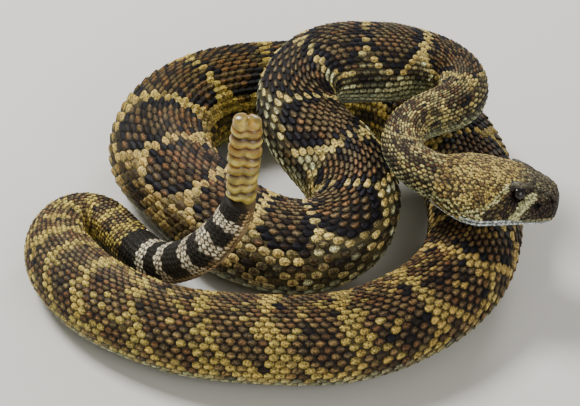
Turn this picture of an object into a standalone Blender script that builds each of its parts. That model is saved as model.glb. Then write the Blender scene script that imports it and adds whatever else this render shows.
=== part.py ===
"""A western diamondback rattlesnake lying coiled, life size.

Units are metres with +Z up. Sizes below are in millimetres and are turned to metres by MM.
The floor is z = 0 and the origin is under the middle of the animal's box. The snake is one tube along
a route, parted by thin cuts into the lengths of its coils, with a head, a lower jaw, two eyes and a
rattle of loose horn rings. It is a still model: nothing in it moves.
"""

import math

import bmesh
import bpy
import numpy as np
from mathutils import Matrix, Vector

MM = 0.001

# The gap between neighbouring pieces.
CUT = 0.3

# How far the belly is pressed into the floor, which leaves the flats that the coils lie on.
SINK = 0.8

# Height of the body's section over its width, and the spacing of its rings and their corners.
HEIGHT_TO_WIDTH = 0.965
RING_STEP = 7.5
RING_SIDES = 24

# The spine's route from the nape to the rattle, one list for each length of the body.
# A point with two numbers lies on the floor, and its height is then half the body's height there.
STRETCHES = (
    ("neck", ((64, -29, 60), (56, -25, 62), (49, -16, 63), (49, -5, 65), (55, 6, 65), (64, 12, 64))),
    ("arch", ((74, 18, 63), (79, 31, 63), (75, 42, 63), (63, 46, 65), (47, 47, 66), (30, 47, 66),
              (14, 45, 64))),
    ("descent", ((5, 36, 59), (5, 26, 52), (13, 15, 45), (23, 5, 38))),
    ("inner_coil", ((29, -10, 31), (23, -25, 25), (8, -30), (-8, -28), (-24, -19))),
    ("left_coil", ((-39, -4), (-52, 13), (-60, 35), (-55, 60), (-38, 77))),
    ("back_coil", ((-13, 84), (19, 85), (50, 77), (71, 52))),
    ("right_coil", ((82, 17), (83, -19), (73, -51), (52, -73))),
    ("front_coil", ((24, -87), (-9, -88), (-39, -84), (-65, -73), (-85, -58))),
    ("tail_bend", ((-100, -36), (-104, -15), (-97, 0, 13), (-85, -1, 13), (-75, -13, 14))),
    ("tail", ((-67, -27, 16), (-56, -41, 21), (-45, -50, 31), (-34, -55, 44), (-27, -55, 54))),
    ("rattle_matrix", ((-22.5, -53.5, 61), (-21.5, -54, 65), (-21.2, -54.4, 69))),
)

# Half the body's width at distances along the spine from the nape.
GIRTH = (
    (0, 11.0), (19, 9.4), (42, 10.2), (77, 12.4), (90, 14.4), (116, 18.8), (149, 20.5), (204, 21.9),
    (254, 22.4), (354, 24.3), (430, 23.5), (527, 22.0), (664, 20.8), (758, 19.9), (812, 18.8),
    (838, 17.6), (860, 15.6), (875, 13.6), (886, 12.0), (901, 10.8), (935, 9.8), (970, 9.6), (986, 8.6),
    (1000, 7.6),
)

# How far the route's corners are rounded, and the spacing of the points it is worked out at.
ROUNDING = 7.5
SPINE_STEP = 1.0

# The head. FORWARD runs from the nape to the snout, and ROLL leans the crown to the animal's left.
NAPE = np.array([64.2, -28.6, 59.5])
SNOUT = np.array([116.1, -35.4, 51.5])
ROLL = math.radians(12)
HEAD_LENGTH = 54.5
HEAD_SIDES = 36

# Along the head: distance from the nape, half width, height of the crown, depth of the chin, height of
# the widest place, and how square the crown and the throat are (2 is an ellipse).
HEAD_SECTIONS = (
    (0.0, 11.0, 10.6, 10.6, 0.0, 2.0, 2.0),
    (6.0, 14.6, 11.2, 12.0, -1.5, 2.2, 2.2),
    (13.0, 19.4, 12.0, 13.2, -3.0, 2.4, 2.3),
    (19.0, 20.6, 12.3, 13.2, -3.5, 2.5, 2.4),
    (26.0, 18.8, 12.3, 12.5, -3.2, 2.7, 2.4),
    (33.0, 15.8, 12.1, 11.5, -2.6, 3.0, 2.4),
    (39.0, 13.6, 11.3, 10.5, -2.0, 3.0, 2.4),
    (45.0, 11.8, 9.8, 9.6, -1.4, 2.8, 2.4),
    (50.0, 9.9, 8.0, 8.6, -0.8, 2.6, 2.3),
    (53.0, 7.2, 5.6, 6.8, -0.4, 2.3, 2.2),
    (54.3, 3.6, 2.6, 4.0, -0.2, 2.0, 2.0),
)

# The eye, the nostril and the heat pit on the animal's left side, in the head's own axes.
EYE_PLACE = (35.2, 11.7, 7.1)
EYE_RADIUS = 3.1
NOSTRIL_PLACE = (50.6, 8.9, 4.8)
NOSTRIL_SIZE = (1.3, 1.6, 1.1)
PIT_PLACE = (44.3, 11.8, 2.6)
PIT_SIZE = (1.9, 2.2, 1.5)

# The mouth line from its corner to the snout: distance from the nape and height.
MOUTH_LINE = ((13.0, -7.6), (19.0, -7.2), (27.0, -7.0), (36.0, -7.0), (46.0, -6.2), (58.0, -5.0))

# The rattle stands on the end of the spine. Its tip, and each ring's half width and half thickness.
RATTLE_END = np.array([-17.4, -58.6, 118.0])
RATTLE_RINGS = 9
RATTLE_HALF_WIDTH = (6.6, 7.4)
RATTLE_HALF_THICKNESS = (4.4, 4.8)
RATTLE_GROOVE = 0.34
RATTLE_SIDES = 28

# Along one ring of the rattle: share of its length and share of its full width.
RATTLE_PROFILE = ((0.0, 0.80), (0.10, 0.95), (0.35, 1.0), (0.65, 0.97), (0.88, 0.86), (1.0, 0.76))

# Colours from the photograph with roughness, for each kind of surface.
FINISHES = {
    "grey_brown_scales": ("7a6a52", 0.6),
    "brown_scales": ("6e5636", 0.6),
    "mustard_scales": ("8a7440", 0.6),
    "ringed_tail": ("8f8a80", 0.6),
    "head_scales": ("6c6355", 0.55),
    "chin_scales": ("b9b39a", 0.55),
    "eye": ("15110c", 0.1),
    "matrix_skin": ("3a3632", 0.6),
    "rattle_horn": ("c9a25a", 0.45),
}

SKIN = {
    "neck": "grey_brown_scales", "arch": "grey_brown_scales", "descent": "grey_brown_scales",
    "inner_coil": "grey_brown_scales", "left_coil": "brown_scales", "back_coil": "brown_scales",
    "right_coil": "brown_scales", "front_coil": "mustard_scales", "tail_bend": "mustard_scales",
    "tail": "ringed_tail", "rattle_matrix": "matrix_skin",
}


def clear_scene():
    for obj in list(bpy.data.objects):
        bpy.data.objects.remove(obj, do_unlink=True)


def linear(hex_colour):
    """An sRGB hex colour as a linear RGBA value."""
    channels = [int(hex_colour[i:i + 2], 16) / 255 for i in (0, 2, 4)]
    curve = [c / 12.92 if c <= 0.04045 else ((c + 0.055) / 1.055) ** 2.4 for c in channels]
    return (*curve, 1.0)


def finish(obj, kind):
    """Gives the object a material of its own."""
    colour, roughness = FINISHES[kind]
    material = bpy.data.materials.new(f"{obj.name}_{kind}")
    material.use_nodes = True
    surface = material.node_tree.nodes["Principled BSDF"]
    surface.inputs["Base Color"].default_value = linear(colour)
    surface.inputs["Roughness"].default_value = roughness
    surface.inputs["Metallic"].default_value = 0.0
    obj.data.materials.clear()
    obj.data.materials.append(material)


def unit(vector):
    return vector / np.linalg.norm(vector)


def closed_loft(name, rings, tip_start, tip_end):
    """A closed mesh through rings of points in mm, with a fan from each tip point over the ends."""
    count, sides = len(rings), len(rings[0])
    points = [tuple(p * MM) for ring in rings for p in ring]
    points += [tuple(tip_start * MM), tuple(tip_end * MM)]
    first_tip, last_tip = count * sides, count * sides + 1
    faces = []
    for side in range(sides):
        after = (side + 1) % sides
        faces.append((first_tip, after, side))
        faces.append((last_tip, (count - 1) * sides + side, (count - 1) * sides + after))
        for ring in range(count - 1):
            low, high = ring * sides, (ring + 1) * sides
            faces.append((low + side, low + after, high + after, high + side))
    mesh = bpy.data.meshes.new(name)
    mesh.from_pydata(points, [], faces)
    shell = bmesh.new()
    shell.from_mesh(mesh)
    bmesh.ops.recalc_face_normals(shell, faces=shell.faces)
    for face in shell.faces:
        face.smooth = True
    shell.to_mesh(mesh)
    shell.free()
    obj = bpy.data.objects.new(name, mesh)
    bpy.context.collection.objects.link(obj)
    return obj


def spline(points, count):
    """Natural cubic spline through the points, by chord length."""
    chords = np.linalg.norm(np.diff(points, axis=0), axis=1)
    knots = np.concatenate([[0], np.cumsum(chords)])
    total = len(points)
    matrix = np.eye(total)
    right = np.zeros(points.shape)
    for i in range(1, total - 1):
        before, after = chords[i - 1], chords[i]
        matrix[i, i - 1:i + 2] = before, 2 * (before + after), after
        right[i] = 6 * ((points[i + 1] - points[i]) / after - (points[i] - points[i - 1]) / before)
    bend = np.linalg.solve(matrix, right)
    place = np.linspace(0, knots[-1], count)
    k = np.clip(np.searchsorted(knots, place, side="right") - 1, 0, total - 2)
    step = (place - knots[k])[:, None]
    chord = chords[k][:, None]
    slope = (points[k + 1] - points[k]) / chord - chord / 6 * (2 * bend[k] + bend[k + 1])
    curl = (bend[k + 1] - bend[k]) / (6 * chord)
    return points[k] + step * slope + step ** 2 / 2 * bend[k] + step ** 3 * curl


def spaced(line, step):
    """The line's points at even distances, and those distances."""
    run = np.concatenate([[0], np.cumsum(np.linalg.norm(np.diff(line, axis=0), axis=1))])
    place = np.linspace(0, run[-1], int(round(run[-1] / step)) + 1)
    return np.stack([np.interp(place, run, line[:, axis]) for axis in range(3)], axis=1), place


def rounded(line):
    """The evenly spaced line with its corners rounded, its ends held."""
    reach = int(3 * ROUNDING / SPINE_STEP)
    weights = np.exp(-0.5 * (np.arange(-reach, reach + 1) * SPINE_STEP / ROUNDING) ** 2)
    weights /= weights.sum()
    before = 2 * line[0] - line[reach:0:-1]
    after = 2 * line[-1] - line[-2:-reach - 2:-1]
    padded = np.vstack([before, line, after])
    return np.stack([np.convolve(padded[:, axis], weights, mode="valid") for axis in range(3)], axis=1)


def nearest(line, point):
    return int(np.argmin(np.linalg.norm(line - point, axis=1)))


class Spine:
    """The route from the snout to the rattle, with its half widths and directions.

    Distances run from 0 at the nape to the rattle, and are negative in the head.
    """

    def __init__(self):
        forward = unit(SNOUT - NAPE)
        lead = [NAPE + forward * distance for distance in (60.0, 40.0, 25.0, 12.0)]
        flat = [point for _, points in STRETCHES for point in points]
        rough = self.with_heights(flat, [self.floor_height(15.0)] * len(flat))
        girths = self.girths_at(rough)
        route = np.array(lead + self.with_heights(flat, [self.floor_height(g) for g in girths]))
        line, _ = spaced(spline(route, 4000), SPINE_STEP)
        self.centre, run = spaced(rounded(line), SPINE_STEP)
        self.distance = run - run[nearest(self.centre, NAPE)]
        self.width = np.interp(self.distance, *zip(*GIRTH))
        tangent = np.gradient(self.centre, axis=0)
        self.tangent = tangent / np.linalg.norm(tangent, axis=1)[:, None]
        self.starts = []
        for _, points in STRETCHES:
            index = flat.index(points[0])
            self.starts.append(self.distance[nearest(self.centre, route[index + len(lead)])])
        self.starts[0] = 0.0
        self.up = self.dorsal_directions()

    @staticmethod
    def floor_height(half_width):
        return half_width * HEIGHT_TO_WIDTH - SINK

    @staticmethod
    def with_heights(flat, heights):
        return [np.array(p if len(p) == 3 else (*p, h), float) for p, h in zip(flat, heights)]

    @staticmethod
    def girths_at(points):
        run = np.concatenate([[0], np.cumsum(np.linalg.norm(np.diff(points, axis=0), axis=1))])
        return np.interp(run, *zip(*GIRTH))

    def dorsal_directions(self):
        """Square to the spine: up along the coils, turning to -X where the tail stands up."""
        turn = np.clip((self.distance - self.starts[-2]) / (self.distance[-1] - self.starts[-2]), 0, 1)
        wanted = np.outer(1 - turn, (0, 0, 1)) + np.outer(turn, (-1, 0, 0))
        along = np.sum(wanted * self.tangent, axis=1)[:, None]
        up = wanted - along * self.tangent
        return up / np.linalg.norm(up, axis=1)[:, None]

    def at(self, distance):
        """Centre, up, side and half width at a distance from the nape."""
        pick = [np.interp(distance, self.distance, self.centre[:, axis]) for axis in range(3)]
        up = unit(np.array([np.interp(distance, self.distance, self.up[:, axis]) for axis in range(3)]))
        along = unit(np.array([np.interp(distance, self.distance, self.tangent[:, a]) for a in range(3)]))
        up = unit(up - along * (up @ along))
        return np.array(pick), up, np.cross(along, up), float(np.interp(distance, self.distance, self.width))

    def room(self, centre, directions, distance, half_width):
        """How far a ring's points may go before they are nearer to another stretch of the body."""
        apart = centre - self.centre
        far = np.abs(self.distance - distance) > 4.0
        apart, widths, along = apart[far], self.width[far], np.abs(self.distance - distance)[far]
        toward = -(directions @ apart.T)
        square = np.sum(apart ** 2, axis=1)
        share = np.where(along > 3 * half_width, 2 * half_width / (half_width + widths), 1.0)
        reach = np.where(toward > 1e-6, square / (2 * np.maximum(toward, 1e-6)) * share, np.inf)
        return reach.min(axis=1)

    def ring(self, distance):
        """The corners of the body's section, flattened where it meets the floor or itself."""
        centre, up, side, half_width = self.at(distance)
        angles = np.linspace(0, 2 * math.pi, RING_SIDES, endpoint=False)
        offsets = np.outer(np.cos(angles) * half_width * HEIGHT_TO_WIDTH, up)
        offsets += np.outer(np.sin(angles) * half_width, side)
        length = np.linalg.norm(offsets, axis=1)
        directions = offsets / length[:, None]
        limit = 0.93 * self.room(centre, directions, distance, half_width) - CUT / 2
        limit = np.minimum(limit, 4 * half_width)
        knee = 0.75 * limit
        eased = knee + (limit - knee) * (1 - np.exp(-(length - knee) / (limit - knee)))
        length = np.where(length > knee, eased, length)
        to_floor = np.where(directions[:, 2] < 0, -centre[2] / np.minimum(directions[:, 2], -1e-6), np.inf)
        length = np.minimum(length, to_floor)
        return centre + directions * length[:, None]

    def head_axes(self, place):
        """Middle, forward, left and up in the head, leant by the roll a little ahead of the nape."""
        centre, up, side, _ = self.at(-place)
        roll = ROLL * min(1.0, place / 15.0)
        forward = unit(np.cross(up, side))
        leant = up * math.cos(roll) + side * math.sin(roll)
        return centre, forward, side * math.cos(roll) - up * math.sin(roll), leant

    def head_point(self, place, left_offset, height):
        centre, _, left, up = self.head_axes(place)
        return centre + left * left_offset + up * height


def build_body(spine):
    ends = spine.starts[1:] + [spine.distance[-1]]
    for (name, _), start, end in zip(STRETCHES, spine.starts, ends):
        low, high = start + CUT / 2, end - CUT / 2
        steps = max(3, int(round((high - low) / RING_STEP)))
        rings = [spine.ring(distance) for distance in np.linspace(low, high, steps + 1)]
        obj = closed_loft(name, rings, rings[0].mean(axis=0), rings[-1].mean(axis=0))
        finish(obj, SKIN[name])


def smooth_table(rows, place):
    """A row of values at a place, on smooth curves through the rows of the table."""
    table = np.array(rows)
    k = int(np.clip(np.searchsorted(table[:, 0], place) - 1, 0, len(table) - 2))
    share = (place - table[k, 0]) / (table[k + 1, 0] - table[k, 0])
    slopes = np.gradient(table[:, 1:], table[:, 0], axis=0)
    gap = table[k + 1, 0] - table[k, 0]
    low, high = table[k, 1:], table[k + 1, 1:]
    s2, s3 = share ** 2, share ** 3
    return ((2 * s3 - 3 * s2 + 1) * low + (s3 - 2 * s2 + share) * gap * slopes[k]
            + (3 * s2 - 2 * s3) * high + (s3 - s2) * gap * slopes[k + 1])


def bump(place, centre, reach):
    return math.exp(-((place - centre) / reach) ** 2)


def head_ring(spine, place):
    """One section of the head with the brow, the ridge to the snout, the eye's rim and the lips."""
    width, crown, chin, widest, square_top, square_low = smooth_table(HEAD_SECTIONS, place)
    mouth = float(np.interp(place, *zip(*MOUTH_LINE)))
    points = []
    for corner in range(HEAD_SIDES):
        angle = 2 * math.pi * corner / HEAD_SIDES
        cosine, sine = math.cos(angle), math.sin(angle)
        power = square_top if cosine >= 0 else square_low
        tall = crown - widest if cosine >= 0 else chin + widest
        across = width * math.copysign(abs(sine) ** (2 / power), sine)
        height = widest + tall * math.copysign(abs(cosine) ** (2 / power), cosine)
        lift = 1.5 * bump(place, EYE_PLACE[0] + 0.3, 5.0) * bump(height, EYE_PLACE[2] + 3.3, 1.9)
        lift += 0.6 * bump(place, 46.0, 6.0) * bump(abs(sine), 0.62, 0.2) * (cosine > 0)
        near_eye = math.hypot(place - EYE_PLACE[0], height - EYE_PLACE[2])
        lift += 0.6 * bump(near_eye, EYE_RADIUS + 1.2, 1.1)
        if place > MOUTH_LINE[0][0]:
            lift += 0.5 * bump(abs(height - mouth), 1.8, 1.3)
        out = lift * bump(abs(across), width, 0.6 * width)
        points.append(spine.head_point(place, across + math.copysign(out, across), height + 0.3 * out))
    return np.array(points)


def ball(spine, name, place, size, segments=16, rings=10):
    """A ball stretched along the head's axes, on the side that the place is on."""
    mesh = bpy.data.meshes.new(name)
    shape = bmesh.new()
    bmesh.ops.create_uvsphere(shape, u_segments=segments, v_segments=rings, radius=1.0)
    _, forward, left, up = spine.head_axes(place[0])
    turn = Matrix([[forward[i], left[i], up[i]] for i in range(3)]).to_4x4()
    stretch = Matrix.Diagonal((*(Vector(size) * MM), 1.0))
    shape.transform(Matrix.Translation(Vector(spine.head_point(*place) * MM)) @ turn @ stretch)
    bmesh.ops.recalc_face_normals(shape, faces=shape.faces)
    for face in shape.faces:
        face.smooth = True
    shape.to_mesh(mesh)
    shape.free()
    obj = bpy.data.objects.new(name, mesh)
    bpy.context.collection.objects.link(obj)
    return obj


def mouth_block(spine, name, inset):
    """A block below the mouth line and ahead of its corner, as wide as the head."""
    nape, forward, left, up = spine.head_axes(MOUTH_LINE[2][0])
    nape = nape - forward * MOUTH_LINE[2][0]
    outline = [(x + inset, z - inset) for x, z in MOUTH_LINE]
    outline += [(MOUTH_LINE[-1][0] + inset, -25.0), (MOUTH_LINE[0][0] + 5.0 + inset, -25.0)]
    rows = []
    for across in (30.0, -30.0):
        rows.append([nape + forward * x + left * across + up * z for x, z in outline])
    count = len(outline)
    points = [tuple(p * MM) for row in rows for p in row]
    faces = [tuple(range(count)), tuple(range(2 * count - 1, count - 1, -1))]
    faces += [(i, i + count, (i + 1) % count + count, (i + 1) % count) for i in range(count)]
    mesh = bpy.data.meshes.new(name)
    mesh.from_pydata(points, [], faces)
    shape = bmesh.new()
    shape.from_mesh(mesh)
    bmesh.ops.recalc_face_normals(shape, faces=shape.faces)
    shape.to_mesh(mesh)
    shape.free()
    obj = bpy.data.objects.new(name, mesh)
    bpy.context.collection.objects.link(obj)
    return obj


def combine(obj, tool, operation):
    """Applies one Boolean of the tool to the object and removes the tool."""
    modifier = obj.modifiers.new(operation, "BOOLEAN")
    modifier.operation = operation
    modifier.object = tool
    modifier.solver = "EXACT"
    graph = bpy.context.evaluated_depsgraph_get()
    mesh = bpy.data.meshes.new_from_object(obj.evaluated_get(graph))
    obj.modifiers.clear()
    obj.data = mesh
    bpy.data.objects.remove(tool, do_unlink=True)


def keep_largest(obj):
    """Keeps the object's largest closed surface."""
    shape = bmesh.new()
    shape.from_mesh(obj.data)
    shape.verts.ensure_lookup_table()
    seen, groups = set(), []
    for vert in shape.verts:
        if vert in seen:
            continue
        group, queue = [], [vert]
        seen.add(vert)
        while queue:
            here = queue.pop()
            group.append(here)
            for edge in here.link_edges:
                other = edge.other_vert(here)
                if other not in seen:
                    seen.add(other)
                    queue.append(other)
        groups.append(group)
    groups.sort(key=len)
    for group in groups[:-1]:
        bmesh.ops.delete(shape, geom=group, context="VERTS")
    for face in shape.faces:
        face.smooth = True
    shape.to_mesh(obj.data)
    shape.free()


def build_head(spine):
    places = [0.15] + list(np.arange(2.0, 26.0, 2.0)) + list(np.arange(26.0, 54.4, 1.3))
    rings = [head_ring(spine, place) for place in places]
    tip = spine.head_point(HEAD_LENGTH, 0, -0.6)
    head = closed_loft("head", rings, rings[0].mean(axis=0), tip)
    jaw = head.copy()
    jaw.data = head.data.copy()
    jaw.name = "lower_jaw"
    bpy.context.collection.objects.link(jaw)
    combine(head, mouth_block(spine, "above_mouth", 0.0), "DIFFERENCE")
    combine(jaw, mouth_block(spine, "below_mouth", CUT), "INTERSECT")
    for side in (1, -1):
        place = (EYE_PLACE[0], side * EYE_PLACE[1], EYE_PLACE[2])
        socket = EYE_RADIUS + CUT
        combine(head, ball(spine, "socket", place, (socket, socket, socket)), "DIFFERENCE")
        nostril = (NOSTRIL_PLACE[0], side * NOSTRIL_PLACE[1], NOSTRIL_PLACE[2])
        combine(head, ball(spine, "nostril", nostril, NOSTRIL_SIZE, 10, 6), "DIFFERENCE")
        pit = (PIT_PLACE[0], side * PIT_PLACE[1], PIT_PLACE[2])
        combine(head, ball(spine, "pit", pit, PIT_SIZE, 10, 6), "DIFFERENCE")
        name = "eye_left" if side == 1 else "eye_right"
        finish(ball(spine, name, place, (EYE_RADIUS, EYE_RADIUS, EYE_RADIUS)), "eye")
    keep_largest(head)
    keep_largest(jaw)
    finish(head, "head_scales")
    finish(jaw, "chin_scales")


def rattle_ring(centre, wide, thin, half_width, half_thickness):
    """A section of the rattle: an oval with a groove along the middle of each broad face."""
    points = []
    for corner in range(RATTLE_SIDES):
        angle = 2 * math.pi * corner / RATTLE_SIDES
        across = math.copysign(abs(math.sin(angle)) ** 0.85, math.sin(angle))
        groove = 1 - RATTLE_GROOVE * bump(across, 0.0, 0.28)
        points.append(centre + wide * half_width * across + thin * half_thickness * math.cos(angle) * groove)
    return np.array(points)


def build_rattle(spine):
    foot = spine.centre[-1]
    axis = unit(RATTLE_END - foot)
    lean = float(np.linalg.norm(np.cross(axis, spine.tangent[-1])))
    foot = foot + axis * (CUT / 2 + lean * spine.width[-1])
    length = np.linalg.norm(RATTLE_END - foot) / RATTLE_RINGS
    wide = unit(np.array([-1.0, 0.0, 0.0]) + axis * axis[0])
    thin = np.cross(axis, wide)
    for index in range(RATTLE_RINGS):
        share = index / (RATTLE_RINGS - 1)
        half_width = np.interp(share, (0, 0.6, 1), (*RATTLE_HALF_WIDTH, 6.2))
        half_thickness = np.interp(share, (0, 0.6, 1), (*RATTLE_HALF_THICKNESS, 4.2))
        start = foot + axis * length * index
        rings = []
        for along, scale in RATTLE_PROFILE:
            centre = start + axis * (CUT / 2 + along * (length - CUT))
            rings.append(rattle_ring(centre, wide, thin, half_width * scale, half_thickness * scale))
        obj = closed_loft(f"rattle_ring_{index + 1}", rings, rings[0].mean(axis=0), rings[-1].mean(axis=0))
        finish(obj, "rattle_horn")


def main():
    clear_scene()
    spine = Spine()
    build_body(spine)
    build_head(spine)
    build_rattle(spine)


main()
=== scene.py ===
"""Looks of the coiled western diamondback rattlesnake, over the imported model's frame.

The snake's flesh is one skin along the spine's route, and every scale is a small solid plate rooted in
it. Sizes are in millimetres along the snake and are turned to metres by MM where a mesh is made.
Along the snake, distances are 0 at the nape, negative in the head and positive down to the rattle.
Angles round it are 0 on the back, positive on the snake's left and half a turn under the belly.
"""

import math
from functools import lru_cache

import bpy
import numpy as np
from bpy.props import FloatProperty, FloatVectorProperty, IntProperty, PointerProperty
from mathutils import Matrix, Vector


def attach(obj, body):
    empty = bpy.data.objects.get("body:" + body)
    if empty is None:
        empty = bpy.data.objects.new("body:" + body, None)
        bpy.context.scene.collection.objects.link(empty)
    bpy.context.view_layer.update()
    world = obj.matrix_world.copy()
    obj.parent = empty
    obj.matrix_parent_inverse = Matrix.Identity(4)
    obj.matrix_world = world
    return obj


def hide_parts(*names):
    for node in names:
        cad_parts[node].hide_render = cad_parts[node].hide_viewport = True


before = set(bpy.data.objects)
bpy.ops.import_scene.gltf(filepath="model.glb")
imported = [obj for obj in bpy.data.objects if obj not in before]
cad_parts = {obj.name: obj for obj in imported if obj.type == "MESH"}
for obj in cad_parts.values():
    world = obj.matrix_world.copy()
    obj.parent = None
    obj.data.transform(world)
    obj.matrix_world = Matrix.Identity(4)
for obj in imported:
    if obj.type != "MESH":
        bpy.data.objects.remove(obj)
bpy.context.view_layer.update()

bl_info = {
    "name": "Coiled rattlesnake finish",
    "version": (1, 0, 0),
    "blender": (4, 5, 0),
    "location": "View3D > Sidebar > Rattlesnake",
    "description": "Skin, scales, head, eyes and rattle of a coiled western diamondback rattlesnake",
    "category": "Object",
}

MM = 0.001
BODY = "root"

FLESH_NODES = (
    "head", "lower_jaw", "neck", "arch", "descent", "inner_coil", "left_coil", "back_coil",
    "right_coil", "front_coil", "tail_bend", "tail", "rattle_matrix",
)

# The spine's route, the girth and the head's sections are the solids' own, in millimetres.
SINK = 0.8
HEIGHT_TO_WIDTH = 0.965
ROUNDING = 7.5
SPINE_STEP = 1.0
SPINE_SAMPLES = 4000
HEAD_LEAD = (60.0, 40.0, 25.0, 12.0)
ROUGH_HALF_WIDTH = 15.0
# A length's section fills this share of the room between it and the next, less the gap, and starts to
# flatten at the knee, a share of that room.
ROOM_SHARE = 0.93
ROOM_GAP = 0.15
KNEE = 0.75
# The roll of the head is complete this far ahead of the nape.
ROLL_LENGTH = 15.0
STRETCHES = (
    ("neck", ((64, -29, 60), (56, -25, 62), (49, -16, 63), (49, -5, 65), (55, 6, 65), (64, 12, 64))),
    ("arch", ((74, 18, 63), (79, 31, 63), (75, 42, 63), (63, 46, 65), (47, 47, 66), (30, 47, 66),
              (14, 45, 64))),
    ("descent", ((5, 36, 59), (5, 26, 52), (13, 15, 45), (23, 5, 38))),
    ("inner_coil", ((29, -10, 31), (23, -25, 25), (8, -30), (-8, -28), (-24, -19))),
    ("left_coil", ((-39, -4), (-52, 13), (-60, 35), (-55, 60), (-38, 77))),
    ("back_coil", ((-13, 84), (19, 85), (50, 77), (71, 52))),
    ("right_coil", ((82, 17), (83, -19), (73, -51), (52, -73))),
    ("front_coil", ((24, -87), (-9, -88), (-39, -84), (-65, -73), (-85, -58))),
    ("tail_bend", ((-100, -36), (-104, -15), (-97, 0, 13), (-85, -1, 13), (-75, -13, 14))),
    ("tail", ((-67, -27, 16), (-56, -41, 21), (-45, -50, 31), (-34, -55, 44), (-27, -55, 54))),
    ("rattle_matrix", ((-22.5, -53.5, 61), (-21.5, -54, 65), (-21.2, -54.4, 69))),
)
GIRTH = (
    (0, 11.0), (19, 9.4), (42, 10.2), (77, 12.4), (90, 14.4), (116, 18.8), (149, 20.5), (204, 21.9),
    (254, 22.4), (354, 24.3), (430, 23.5), (527, 22.0), (664, 20.8), (758, 19.9), (812, 18.8),
    (838, 17.6), (860, 15.6), (875, 13.6), (886, 12.0), (901, 10.8), (935, 9.8), (970, 9.6), (986, 8.6),
    (1000, 7.6),
)
NAPE = np.array([64.2, -28.6, 59.5])
SNOUT = np.array([116.1, -35.4, 51.5])
ROLL = math.radians(12)
HEAD_SECTIONS = (
    (0.0, 11.0, 10.6, 10.6, 0.0, 2.0, 2.0),
    (6.0, 14.6, 11.2, 12.0, -1.5, 2.2, 2.2),
    (13.0, 19.4, 12.0, 13.2, -3.0, 2.4, 2.3),
    (19.0, 20.6, 12.3, 13.2, -3.5, 2.5, 2.4),
    (26.0, 18.8, 12.3, 12.5, -3.2, 2.7, 2.4),
    (33.0, 15.8, 12.1, 11.5, -2.6, 3.0, 2.4),
    (39.0, 13.6, 11.3, 10.5, -2.0, 3.0, 2.4),
    (45.0, 11.8, 9.8, 9.6, -1.4, 2.8, 2.4),
    (50.0, 9.9, 8.0, 8.6, -0.8, 2.6, 2.3),
    (53.0, 7.2, 5.6, 6.8, -0.4, 2.3, 2.2),
    (54.3, 3.6, 2.6, 4.0, -0.2, 2.0, 2.0),
)
MOUTH_LINE = ((13.0, -7.6), (19.0, -7.2), (27.0, -7.0), (36.0, -7.0), (46.0, -6.2), (58.0, -5.0))
EYE_PLACE = (35.2, 11.7, 7.1)
EYE_SPOT = (EYE_PLACE[0], EYE_PLACE[2])
EYE_RADIUS = 3.1
NOSTRIL_SPOT = (50.6, 4.8)
PIT_SPOT = (44.3, 2.6)
HEAD_TIP = 54.2
RATTLE_END = np.array([-17.4, -58.6, 118.0])
RATTLE_RINGS = 9
RATTLE_HALF_WIDTHS = ((0, 6.5), (0.6, 7.3), (1, 6.4))
RATTLE_HALF_THICKNESSES = ((0, 4.3), (0.6, 4.7), (1, 4.3))
RATTLE_ROWS = 21

# Half the body's width at which the user's sizes hold.
MID_GIRTH = 22.0

# The grid that the outer surface is worked out on: rows in the head and the body, and corners round it.
HEAD_STEP = 0.5
BODY_STEP = 1.5
SIDES = 96
EYE_ROWS, EYE_SIDES = 49, 64

# Where the pale lines cross the back, from the neck to the tail, then the tail's black and white rings.
PALE_LINES = (
    -20, 22, 47, 72, 103, 129, 152, 171, 199, 223, 248, 275, 303, 335, 367, 398, 430, 460, 490, 520, 550,
    579, 607, 635, 663, 695, 728, 757, 785, 812, 831, 846, 858, 870, 883, 896, 907,
)
TAIL_RINGS = (914, 927, 933, 941, 947, 957, 964, 971, 978, 985, 991)

# Where the pattern changes its kind, as distances where a change starts and ends.
FORE = (82, 50)
MIDDLE = (235, 300)
REAR = (560, 690)

# Lengths with a flank of their own, as middle and reach: the arch, whose flank also gets painted light, the
# pale-ringed flank, the open side.
ARCHED = (160, 80)
RINGED_FLANK = (295, 75)
OPEN_SIDE = (425, 80)

# By distance: the pale lines' width as a share of a diamond, half a diamond's angle, and the angle where
# the low flank starts.
LINE_WIDTHS = ((0, 0.11), (90, 0.11), (150, 0.09), (220, 0.12), (600, 0.12), (700, 0.23), (800, 0.28),
               (900, 0.36))
DIAMOND_REACH = ((0, 0.95), (60, 1.15), (560, 1.2), (700, 2.1), (900, 2.6))
LOW_START = ((0, 1.3), (60, 1.35), (210, 1.4), (260, 1.75))
DIAMOND_POWER = 2.3

# By distance: scales round the back, their spacing as a share of the user's, and how much they crowd
# together on the back.
ROW_COUNTS = ((0, 27), (60, 29), (740, 29), (860, 25), (910, 18), (1000, 12))
SPACING = ((90, 0.92), (120, 0.88), (240, 0.95), (300, 1.06), (720, 1.06), (840, 0.88))
CROWDING = ((0, 0.1), (120, 0.42), (320, 0.36), (800, 0.33), (920, 0.12))
HEAD_SPACING = ((0, 1.9), (8, 1.6), (22, 1.42), (40, 1.5), (54, 1.4))

# The scale that heights in the tables of looks are given for is this long.
SCALE_UNIT = 5.0

# Where the whole pattern turns lighter, browner or yellower: middle, reach, and change of each colour.
TINTS = (
    # Painted light: the arch and the descent lighter, standing in for sunlight on them.
    (225, 85, (0.5, 0.5, 0.62)),
    (320, 45, (0.0, -0.07, 0.0)),
    # Partly painted shade: the left and back coils darker and warmer, offsetting the key light's sheen
    # there.
    (450, 115, (-0.17, -0.22, -0.58)),
    (630, 110, (-0.09, -0.16, -0.1)),
)

# The belly's wide plates start at this angle from the back.
BELLY_ANGLE = math.radians(126)

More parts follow.
